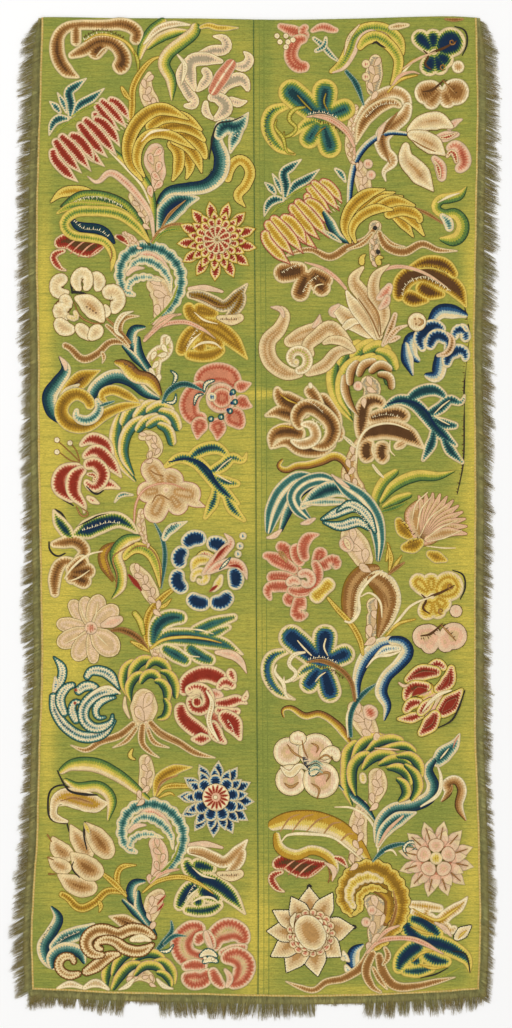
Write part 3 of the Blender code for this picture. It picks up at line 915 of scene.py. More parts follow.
# Motifs: a place is column,row in squares, from the corner in the title, and a width is half a limb's width
def upper_left_leaves():
    """Leaves and scrolls of the upper half of the left width."""
    work("""
leaf_left_brown_scroll 58,22
scroll_brown merge: 22,56 8,48 0,34 0,16 8,6 22,3 36,3 50,3 62,2 73,5 79,12 75,23 /
1 7.5 8 8 6.6 5.6 5.4 5.4 6 7 7 6.4
18,0 18,14 18,25 / 5 5.8 5.6
10,35 26,28 40,20 54,21 64,32 64,42 55,48 / 3 6.6 7.4 7.4 7.6 9 9.4
50,22 39,28 36,38 / 7 8.4 8.6
tooth_pale comb: 70,24 56,16 40,13 26,19 / 3.2
stem_gold: 80,38 70,22 54,14 39,13 26,20 / 1.2 1.6 1.4 1.2 .5
tooth_brown comb: 26,16 40,9 54,11 66,17 / 2.4 -1
stem_cream: 38,35 45,27 50,25 / .5 .8 .4

leaf_left_green_fold 134,19
fold_across across: 5,41 9,27 19,12 32,0 / 2 5.5 6.5 4
scroll_tan: 9,26 24,10 40,5 57,6 / 1 3.4 3.8 1
fold_across back: 13,30 26,19 42,13 56,12 / 2 5 5 1
fold_across across: 62,4 60,13 47,24 34,35 30,46 37,61 38,82 / 5 6.5 6.5 6.4 6 5 .8
scroll_tan: 43,35 51,47 47,67 / 1 3 .6
gold_leaf: 65,9 74,6.4 84,9 105,9 / 1.8 3.2 3 .8
lime_stem: 0,31 4,43 4,53 / .8 2.2 .6

leaf_left_teal_spray 49,78 > leaf_right_teal_spray 215,81
spray: 21,41 22,26 20,14 27,8 38,0 / 2 5 5.4 4.6 .6
23,39 31,27 43,20 56,10 / 1.4 5 4.6 .6
18,36 14,25 8,14 / 1.2 3.8 .6
12,36 7,29 0,23 / 1.8 4.2 .6
21,41 10,41 4,46 0,58 / 1.8 5.2 4 .6
stem_green: 7,55 17,46 30,41 / .5 1.3 .8
22,39 35,31 48,26 / .5 1.3 .5

leaf_left_gold_acanthus 129,109
gold_dark_rim: 39,31 55,43 61,57 57,71 / 5 7 6 1.4
39,32 49,43 49,59 43,73 / 5 6.4 6 1.4
41,29 59,37 68,49 73,65 / 5 6.6 6 1
41,27 61,27 73,39 77,51 / 5 7 6.6 2.4
21,25 43,17 61,19 77,33 / 5 7 7 2
17,21 35,8 57,10 74,22 / 5 7.4 6.6 1.4
14,73 1,53 0,31 13,9 33,0 61,11 / 1.5 6 7 7.4 6.6 1
16,69 8,53 11,35 23,25 43,27 67,41 / 1.5 5 5.6 5.6 5 .8
stem_cream: 12,33 23,23 41,21 / .5 1.6 .5

leaf_left_teal_ribbon 155,112
outline_ink: 1,120 0,98 10,78 35,72 / .6 1 1 .6
teal_leaf: 3,121 12,102 26,90 45,86 / 2 12 11.5 1
stem_brown: 5,119 15,102 31,88 / .8 1.8 .4
teal_across back: 3,92 13,80 33,77 51,74 64,63 67,46 62,30 64,16 / 2 5 6.5 7 8 8.4 7 4
tooth_dark comb: 31,72 49,68 57,56 / 2.4
teal_leaf: 62,28 69,15 83,14 94,0 / 4 9.5 8 .6
teal_leaf same: 86,14 79,28 75,42 / 5 6.6 1
tooth_pale comb: 69,21 77,24 83,20 / 2.6
outline_ink: 54,48 58,24 63,12 77,9 89,4 / .4 .8 .9 .8 .4

leaf_left_yellow_tendril 227,160
tendril: 0,23 4,7 14,0 23,11 19,25 11,36 19,48 / 4 5.4 5.6 5.6 5.6 5.4 .6

leaf_left_stems 87,56
stem_gold: 43,72 45,52 46,32 54,16 65,4 76,0 / 2 3.4 3.4 3.4 2.6 .8
34,30 39,39 45,45 / 1.5 3 1
green_across across: 22,91 41,108 57,123 65,142 67,184 / 2 3.6 3.8 3.4 1.8
stem_cream: 22,95 39,112 55,130 63,148 / .6 1.3 1.3 .8
rose_petal: 0,120 10,126 23,117 37,125 51,140 63,158 67,182 / .6 3 4 4 3.4 2.4 1.4
stem_brown: 64,187 73,174 89,168 107,172 / 1 1.4 1.4 1.2
stem_green: 65,188 77,176 93,173 103,175 / 1 1.4 1.4 .6
stem_brown: 19,262 31,273 44,288 / 1 1.8 1.5
stem_pink: 56,286 69,273 85,261 91,258 / 1.5 2.4 2 .6
gold_across across: 27,306 37,309 49,320 63,324 74,340 / 2 7.5 7 6.4 2
tooth_dark comb: 37,307 44,310 50,312 / 2.2
stem_cream: 37,282 29,274 35,260 47,255 / .8 2.6 3 .6

leaf_left_olive_hook 50,191
tendril: 0,12 12,2 30,0 52,5 / 1 5.6 5.6 1
hook_green: 10,16 28,8 50,8 72,16 89,34 100,55 / 1 8 8.6 8 5.6 1
tooth_pale comb: 16,15 34,6 54,6 74,15 / 3
fold_green: 6,23 20,16 42,17 64,20 82,31 97,50 / 1 5 6 6 5 1
tooth_dark: 20,26 28,35 48,38 58,44 65,53 / 1.5 5 5 5 1
lime_band: 100,52 86,35 68,23 42,20 24,22 14,33 22,44 40,47 55,51 63,65 61,81 /
1.5 4.6 5.4 5.4 5.4 5.4 5 4.6 4.4 4 .8
tooth_pale comb: 23,30 33,38 49,40 59,47 / 3 -1 2
seed_red: 66,45 71,47 75,51 / 1 3 .8

leaf_left_great_scroll_gold 50,356
teal_across across: 9,0 16,13 8,27 0,40 3,56 13,68 / .8 5.4 7 8 7 2
rose_petal: 9,0 15,8 16,15 / .5 3 1.5
gold_leaf: 11,54 17,38 32,23 51,14 / 3 8 9.4 .6
teal_leaf: 8,48 18,35 30,28 / 2 4.4 1
teal_across back: 110,43 96,37 82,25 66,20 52,26 42,38 44,50 / 2 5 6.4 7 7 6.4 3
gold_leaf: 90,47 76,39 62,34 52,40 58,48 / 1.5 5 5.4 5 1.5
92,48 72,51 54,59 38,69 22,69 12,59 14,46 26,38 38,44 41,54 / 1.5 4.6 5.4 6.4 7.4 7.6 7.4 7 6.4 5
teal_leaf: 46,42 49,54 39,64 27,61 27,52 / 2 5 5.4 5 2
stem_teal: 47,51 56,48 65,45 / .8 2 .8

leaf_left_palm 115,402 > leaf_right_palm 217,-60 palm_across=lime_across
palm_across back: 21,80 6,60 0,40 2,22 6,10 / 1 5 6 6 3
7,24 15,9 31,0 / 4.6 6.4 5
19,18 31,5 44,0
31,11 46,4 59,12
43,9 57,14 64,29 / 4.6 6.4 4.6
19,74 9,54 10,36 19,22 31,16 / 1 4.6 5.8 6 4
21,30 31,19 45,14 / 3.6 5.6 4.6
31,25 45,18 55,26
42,22 53,28 58,44 / 3.6 5.6 4.4

leaf_left_cream_vine 134,469
vine_cream lobed: 32,21 18,0,12 37,11,13 56,25,12 44,36,11 21,43,12 13,23,11 / .85
vine_cream same: 50,25 62,34 72,38 / 10 6 .6
outline_pink: 0,55 2,35 10,21 24,15 38,15 52,21 / .8 1.2 1.2 1 .8 .4
outline_brown: 16,1 22,5 30,7 / .4 .8 .4
18,34 24,26 36,31

leaf_left_antler 163,448 > leaf_right_antler 218,-58 yellow_rim=antler_teal
yellow_rim merge: 0,20 17,10 33,14 45,26 59,42 77,57 / 2 6 7.2 7.2 7 2
23,14 37,3 53,0 66,8 / 4 7 7 3.6
43,26 59,18 69,10 80,12 84,4 / 4 6.6 6.6 4.6 1
49,28 63,34 78,36 / 4 6.6 3.4
53,38 51,52 41,72 / 4 6.6 2
61,44 69,60 83,74
tooth_dark: 5,14 27,11 43,19 55,37 67,50 / .5 1.2 1.4 1.2 .5
tooth_dark comb: 13,10 27,12 41,20 51,34 / 2.4
stem_cream: 53,24 61,16 69,10 / .4 .8 .4
53,26 61,31 69,35

leaf_left_small_sprigs 57,370
spray: 57,133 64,125 77,125 / 1 3 1
outline_brown: 23,92 13,82 1,71 / .5 .6 .4
23,92 19,80 12,72
23,93 13,90 2,82
cream_leaf spots: 0,70 13,73 0,82 / 3
stem_teal: 105,34 112,21 127,14 147,21 / 1.5 3.2 3.2 1
teal_outline: 113,0 119,6 115,16 / .8 2.6 .8
107,32 117,32 119,23 / .8 2.4 .6
""")


def upper_left_flowers():
    """Flowers and buds of the upper half of the left width."""
    work("""
flower_left_check_lily 181,36
lily: 15,19 31,15 45,12 43,3 31,0 / 2 6 6 5 1
5,22 0,40 7,56 13,68 2,70 / 1.5 5.6 6 6 2
43,26 25,23 10,26 9,40 15,56 / 2 7 7.4 7 2
21,32 27,40 21,50 15,56 / 4 5.4 5.4 1.5
62,15 68,22 64,30 52,30 / 1 5.4 6 3
39,60 47,47 61,44 68,56 / 3 7 7.4 2
47,62 57,67 67,65 / 3 5.4 1
26,62 37,62 45,72 32,85 / 4 7 7.4 2
25,64 25,76 33,84 / 2.4 5 1.5
check stripes stripes=2: 30,59 41,41 53,24 / 5.4 8 5.4
outline_pink comb: 27,52 38,35 47,22 / 7 1 3.4 0

flower_left_red_pods 71,115 > flower_right_gold_pods 212,82 pod_red=pod_gold
pod_red pod: 39,0 / 48 40 31
25,23 / 49 50 36
0,39 / 50 48 37
stem_cream comb: 46,15 53,9 59,2 / 4 1 3

flower_left_flame 217,240
flame petals point: 0,1 / 13 18 41 6 10
0,1 / 15 12 31 5 0
flame petals: 0,0 / 15 8 23 4.4 12
rosette petals: 0,0 / 12 1 15 3.8 6
outline_brown spots: 0,0 / 1.4

flower_left_roundels 56,270
beige_petal: 14,22 2,22 2,12 12,7 / 2 7 8 5
34,4 43,12 40,22 / 7 8 3
4,26 10,32 4,42 14,48 / 5 8 8 4
0,48 8,58 20,60 / 5 9 4
20,54 28,62 36,70 / 5 7.4 3
44,54 40,62 32,70 / 6 8 3
48,28 56,22 62,30 56,44 / 7 9 8 4
48,34 52,42 48,48 / 2 4 2
outline_ink: 16,24 16,8 24,0 31,6 30,19 / .6 1.2 1.2 1 .4
beige_petal: 24,22 20,10 28,3 32,14 28,21 / 3 6 6.4 6 3
outline_ink: 16,22 26,23 36,28 42,34 / 1.4 1.2 .8 .3
beige_petal: 18,27 31,33 41,43 48,53 / 2 10 10.4 2
outline_brown: 18,32 24,46 36,53 48,53 / .3 .9 .9 .4
tooth_brown spots: 31,37 34,39 37,41 40,43 / .8
trefoil: 10,46 20,48 18,40 / 2 3.4 2

flower_left_salmon_rose 189,373
salmon_petal: 10,15 16,4 29,0 41,4 47,17 / 7 10.6 11 10.6 7
18,11 4,21 0,35 8,45 18,43 / 6 9.6 10.4 9.6 5
45,15 54,13 63,10 / 6 6.6 1
47,24 56,31 64,34 / 7 8 1
37,37 47,46 54,56 / 9 11.4 4
25,45 29,56 28,68 / 8 9.4 1
14,44 10,55 8,67 / 8 9 1
rose_petal spots: 32,25 / 15.5
salmon_petal spots: 33,25 / 10
teal_rim spots: 44,19 46,29 41,38 32,44 22,46 / 3.2
seed_navy spots: 42,21 43,30 39,37 / 1.8
navy_petal spots: 23,24 / 4.6
teal_outline: 15,20 17,11 26,7 / 1 2.6 1.5
15,21 8,23 5,33 / 1 2.4 .6

flower_left_red_peony 54,439
outline_ink: 8,25 0,41 6,57 20,67 / .6 1.2 1.2 .6
red_petal: 25,7 38,0 52,6 59,18 / 2 7 7 2.4
28,19 42,12 56,24 68,39 / 3 7.6 7.6 1
28,27 10,33 6,47 20,63 / 4 8 9 3
32,28 21,38 20,53 30,67 30,75 / 4 8 8 5 1
42,53 52,45 67,50 / 2.4 6.4 1
32,57 38,61 46,65 / 2 4 1
29,27 41,25 49,36 40,48 30,41 / 5 7.4 7.4 6 3
red_leaf: 32,35 41,37 39,43 / 1.5 3 1.5
outline_ink: 32,47 42,55 50,51 / .5 1 .5
outline_brown: 22,67 28,77 34,75 28,69 / .5 .9 .9 .4
""")


def upper_right_leaves():
    """Leaves and scrolls of the upper half of the right width."""
    # The dark ink line and the short brown teeth drawn along the tuck's fold are painted shadow, where the
    # folded cloth throws shade on the ground beside it
    work("""
leaf_right_roof 329,19
yellow_leaf: 0,54 13,45 21,31 26,18 38,10 55,10 70,21 74,37 / 2 6 6.6 7 6.6 6 5.4 2
grey_trunk: 15,37 20,19 31,5 / .8 2.4 1
rose_petal: 3,54 15,49 25,35 31,19 41,12 53,15 / .8 1.8 2 2 1.8 .8
grey_trunk: 37,15 53,15 65,27 71,37 / .8 2.6 2.4 .6
yellow_leaf: 29,31 37,21 47,18 59,25 69,39 68,53 61,67 / 3 6 6.4 6 5.4 4.6 .8
outline_ink: 43,25 47,23 51,26 57,29 / .5 1.2 1 .4
scroll_brown: 59,9 68,7.4 81,6 / 2.4 3.8 1.6
stem_brown: 115,0 125,1 135,0 / 1 2 1

leaf_right_teal_stems 312,36
spray: 0,1 10,9 20,20 29,27 / 2 3.4 3 1
14,0 12,10 2,16 / 1.5 3.4 2
stem_teal: 33,34 44,48 52,70 / 2 3.4 1
blue_across across: 37,170 39,144 45,122 58,106 76,97 96,98 / 2.4 3.2 3.4 3.4 3 2
spray: 22,132 29,138 34,147 / 1.5 4 1
teal_across across: 11,175 18,186 26,200 38,207 / 2 5 4.4 1.5
spray: 10,194 20,200 30,207 / 1 3 1
stem_gold: 90,34 100,26 112,20 / .8 1.8 .8
stem_pink: 90,33 108,22 124,16 / .6 1.4 .6
80,50 88,40 100,36 108,38 / 1 2 1.6 .6
0,80 18,84 34,96 43,112 / .8 2.6 2.6 1.5
spray: 31,400 38,406 44,412 / 1 2 1
60,428 66,436 72,442 / 1 1.6 .6

leaf_right_brown_ribbon 354,92
scroll_tan: 0,54 6,32 20,10 36,0 50,4 54,16 / 2 7 7.6 7 6.4 5
scroll_brown: 2,51 10,30 24,16 38,11 48,15 / 1.5 6 7.4 6.4 3
scroll_tan: 55,10 50,24 38,34 28,46 31,60 39,69 30,80 32,90 / 4 7 8 8.4 7.6 6 3.4 .8
stem_brown: 44,20 35,32 28,46 32,62 36,72 / .6 2.6 3.4 2.4 .6
rose_petal: 32,30 26,40 24,50 / 1 3 1
tooth_pale comb: 12,26 26,14 44,12 / 3 -1

leaf_right_gold_acanthus 345,189
gold_dark_rim: 47,25 59,35 69,49 / 4 6 1
51,23 67,31 80,48
39,27 57,21 73,27 75,35 / 5 6.4 6 3
11,25 27,9 51,3 / 4 6.6 1
19,23 39,11 59,7
25,23 49,12 71,17 / 4 6.6 1.5
6,55 0,39 5,21 21,6 41,0 / 1.5 5.4 6.6 6.6 1
11,55 7,41 15,28 31,20 49,21 / 1.5 4.6 5.6 5.6 1

leaf_right_s_curl 411,186
stem_brown: 0,21 15,27 33,38 / 1 2 1
green_across back: 28,53 45,53 52,40 45,28 33,28 25,22 29,14 39,12 49,9 56,0 /
1.5 6.4 7 6.4 5.4 4.6 5 5.4 5 .6
teal_leaf: 29,28 37,36 39,46 / 2 5.4 4
stem_cream: 26,17 37,11 49,7 / .4 1.6 .5

leaf_right_three_lobed 281,262
scroll_brown lobed: 27,8 2,11,10.5 11,8,9 19,31,9.5 41,26,9.5 45,18,8 29,12,9 / .8
stem_pink: 23,0 41,6 55,16 66,28 / .8 2 2.4 1.5
tooth_pale comb: 0,10 11,4 21,1 / 2.6
21,30 27,20 37,13
stem_cream: 32,32 35,24 43,22 / .4 .8 .4

leaf_right_amber_leaf 376,262
amber_leaf merge: 22,40 24,28 30,17 44,11 64,17 80,27 91,46 / 5 10 10.4 10.4 10.4 8.4 1
26,32 38,37 54,39 / 8 8.6 2
40,22 54,30 70,33 / 8 9 3
amber_leaf: 32,7 52,0 70,4 81,16 / 3 7 7.8 4
tooth_brown comb: 44,6 58,6 72,12 / 2.4 -1
stem_pink: 0,11 18,5 34,6 52,13 72,26 / 1.5 2.2 1.8 1.4 .5
tooth_pale comb: 34,18 48,14 64,21 76,29 / 3
27,34 30,24 38,18 / 2.6 -1

leaf_right_beige_scroll 268,307
scroll_sand: 2,0 16,5 12,21 0,35 2,53 18,66 36,67 / .6 5.6 7.6 8.6 8.6 7.6 3
52,7 48,21 34,29 16,37 / .6 8.6 9.4 5
rose_petal: 2,0 12,2 16,11 / .6 3 1.5
52,7 50,15 44,21 / .6 3.4 1.5
scroll_sand: 36,67 56,59 70,45 88,43 / 4 6.8 6.4 3
84,39 72,29 62,21 50,29 40,39 44,51 / 3 7.8 8 7.6 6.8 4
88,45 76,35 64,33 54,37 / 2 5 5 2
cream_gold scroll: 29,52 / 13 1.1 100 -1 4 5.4 5.4 5 4
trefoil spots: 28,55 / 3.6

leaf_right_cream_foliage 331,254
cream_leaf: 49,90 35,74 17,64 3,52 / 2 10 10 5
9,78 21,68 31,68 / 2 5 2
49,88 35,66 21,48 15,36 / 3 7.6 7.6 1.5
rose_petal: 9,50 0,58 5,64 / 1.5 3.6 1
scroll_sand: 49,86 45,62 33,42 23,26 33,12 / 3 7.4 8 7.4 1.5
49,82 53,58 43,40 45,22 59,10 / 2 6.4 7 5.6 1
rose_petal: 45,46 55,38 60,29 / 2 6 3
47,56 55,48 57,40 / 1.5 4.6 3
yellow_leaf: 31,12 31,4 35,0 / 3 3.4 1
49,12 47,4 53,4
outline_brown: 49,84 39,62 27,44 / .4 .9 .4
50,82 47,60 37,44

leaf_right_dark_vine 356,401
dark_leaf merge: 29,6 21,0 10,3 6,19 4,39 / 5 8 9 8 4
10,19 28,14 44,13 52,21 / 6 8 8.4 7
2,45 12,33 30,28 50,33 70,49 / 2 10 11 9.6 .6
14,37 10,51 16,61 / 8 9 8.6
28,39 26,54 33,60 / 8 8.6 8
42,39 47,48 / 8 8
stem_cream: 0,63 2,43 10,29 24,23 38,23 54,29 / .8 1.3 1.3 1.2 1 .4
18,39 16,49 20,59 / .4 .9 .3
34,39 34,49 39,55
tooth_pale comb: 16,17 30,14 44,17 / 2.4 -1 2.2

leaf_right_gold_scroll_upper 279,456
gold_across across: 72,21 66,6 56,0 43,5 29,9 17,10 7,14 0,10 4,3 / 1.6 4 4.6 4.6 4.2 4.2 3.6 3 1.4

tuck_right_stitches 457,300 1
outline_ink: 6,0 12,30 9,60 7,93 6.5,160 0,195 / .4 .7 .7 .7 .7 .4
tooth_brown comb: 6,0 12,30 9,60 7,93 6.5,160 0,195 / 2.2 1 3 0

leaf_right_brown_twig 345,312 14
palm_brown: 37,35 45,18 51,0 / 1.8 4.2 2.4
39,33 51,18 63,13 / 1.8 3.6 1
43,31 51,26 56,25 / 1 3.4 1.5
brown_across back: 14,105 5,92 0,78 0,62 / .6 3.6 4.8 3.6
5,74 6,59 14,49 / 3.4 5 3.6
13,65 19,53 32,49
24,61 36,53 47,59
32,62 44,65 47,78 / 3 4.6 3.4

leaf_right_striped_fold 266,474
teal_stripes stripes stripes=2: 2,60 8,36 18,18 34,6 54,6 / 3 9 10.4 10 3
teal_across across: 14,58 22,36 32,20 48,12 / 2 5 6 2
teal_stripes stripes stripes=2: 46,48 32,34 28,22 38,10 56,5 74,11 / 1.5 7 7.6 7.4 7 2
rose_petal: 0,64 8,62 16,55 / 1 3.4 1
34,50 42,48 50,44
teal_leaf: 34,35 50,22 68,15 86,22 / 2 8 9 3
34,30 58,28 80,28 / 1 4.4 3
teal_stripes stripes stripes=2: 66,2 80,14 96,26 108,44 113,66 112,88 / 1.5 8 9.4 9.4 6.4 2
teal_rim: 54,46 68,40 84,34 96,38 / 1.5 5.4 6 2
56,48 74,52 92,48 104,56
70,38 84,30 100,40 110,60 / 1.5 5 5.4 2
tooth_pale comb: 84,34 96,44 104,60 / 2.4 -1 2
rose_petal: 65,0 72,6 84,14 / .8 2.6 .8

leaf_right_yellow_spray 376,470
green_across back: 0,46 0,28 8,12 22,0 / 2 5 6 3
4,33 18,16 40,6 62,6 79,1 / 2 5.6 6 5 .8
6,38 20,30 36,24 / 2 5 3
stem_green: 4,42 18,38 32,32 / 1.5 2.6 1

leaf_right_gold_calyx 386,517
gold_leaf: 11,0 16,11 28,23 / 3 8 3
14,31 26,29 38,23 / 3 8.4 4
40,35 48,39 62,44 / 3 7 1.5
tooth_brown comb: 14,3 20,11 28,19 / 3 -1
22,27 32,23 40,19
stem_gold: 0,45 3,31 1,25 / 1 2.4 .6
""")


def upper_right_flowers():
    """Flowers and buds of the upper half of the right width."""
    work("""
flower_right_pink_tassel 277,25
salmon_petal: 0,0 13,5 33,12 / 3 6.8 4
31,14 26,5 32,1 / 4 5.6 3
33,7 45,2 57,5 62,5 / 2 4.2 4.8 2.4
31,13 19,17 14,31 21,41 33,41 / 4 7 7.4 7.4 5
lily spots: 0,11 3,17 9,11 11,17 9,22 16,15 / 3

flower_right_tulip 406,119
rose_petal: 41,11 50,3 57,0 / 3 4 1
26,21 42,17 54,15 / 3 6 2
40,31 50,27 58,43 50,53 / 3 7 8 4
26,37 34,47 36,63 / 3 6.4 4
red_leaf: 32,19 42,18 52,13 / 1.5 3 1
28,41 32,49 34,60 / 1 3 1.5
40,39 46,33 51,45 / 1.5 3.4 2
beige_petal: 1,14 14,5 32,2 48,9 / 3 8.6 10 1.5
0,23 0,39 12,53 28,73 / 3 9.4 11 .6
1,14 14,19 28,27 40,37 / 3 9.6 10.4 .6
outline_brown: 6,21 18,28 30,33 / .4 .9 .4

flower_right_navy_scroll 405,312
blue_across back: 25,13 35,0 49,0 63,4 / 4 7.4 7.4 2
blue_across across: 19,22 6,28 7,42 15,50 / 3 7 7 2
0,30 2,46 8,64 / 3 6.8 1
35,40 35,52 31,64 19,63 / 5 7.4 7 2
navy_petal: 19,40 15,26 29,14 41,18 / 3 7.4 8 3
23,38 31,24 43,30 41,40 / 5 7.4 6.4 3
47,28 55,18 63,30 / 4 6.8 5
41,56 45,42 58,40 61,50 / 4 7.4 7.4 3
63,20 59,14 55,12 / 2 3 1
palm_brown: 31,44 43,40 47,28 41,20 / 1.5 3.8 3.8 1.5
beige_petal spots: 12,10 / 9.6
outline_brown: 13,6 18,10 13,14 / .5 1.6 .5
outline_brown spots: 10,7 11,12 / 1

flower_right_brown_peony 264,385
scroll_brown merge: 12,1 16,11 30,20 48,29 / 2.4 10.4 11 8
54,9 62,19 70,33 73,45 / 7 8 8.6 6
0,31 16,27 36,33 / 1.5 8.4 8
7,65 10,51 24,46 42,51 / 2 8 9 7
8,63 22,57 36,63 56,64 72,56 / 2 6 9 8.4 5
66,39 74,47 71,57 / 7 7.4 6
scroll_brown: 42,1 50,11 60,25 / 7 6.6 3
scroll_tan: 44,1 49,0 / 3.4 3.4
scroll_brown: 38,45 33,33 42,22 57,27 69,43 62,59 46,61 / 4 8 8.4 8.4 8.4 7 3
scroll_tan: 26,55 38,59 51,53 48,41 36,39 / 2 5.8 6 5.8 2
stem_gold: 8,45 18,41 30,43 / .4 1.2 .5
16,9 24,15 34,19 / .4 1 .4
tooth_pale comb: 48,33 58,39 64,49 / 2.6
36,15 48,19 60,29 / 2.2 -1
""")
    with Motif("flower_right_thistle") as m:
        m.draw("""
thistle_tan: 420,546 428,522 440,500 / 8 27 15
""")
        for index in range(11):
            angle = math.radians(-112 + 11.8 * index)
            middle = (430 + 18 * math.cos(angle), 530 + 20 * math.sin(angle))
            tip = (432 + 36 * math.cos(angle), 530 + 38 * math.sin(angle))
            m.limb("thistle_ray", ((424, 540), middle, tip), (3, 6, 1.2))
        m.draw("""
stem_cream: 412,520 416,504 428,492 / .4 .8 .4
417,530 421,510 432,496
420,536 430,518 446,506
424,540 440,528 458,520
426,542 444,538 462,530
426,546 444,548 456,548
""")


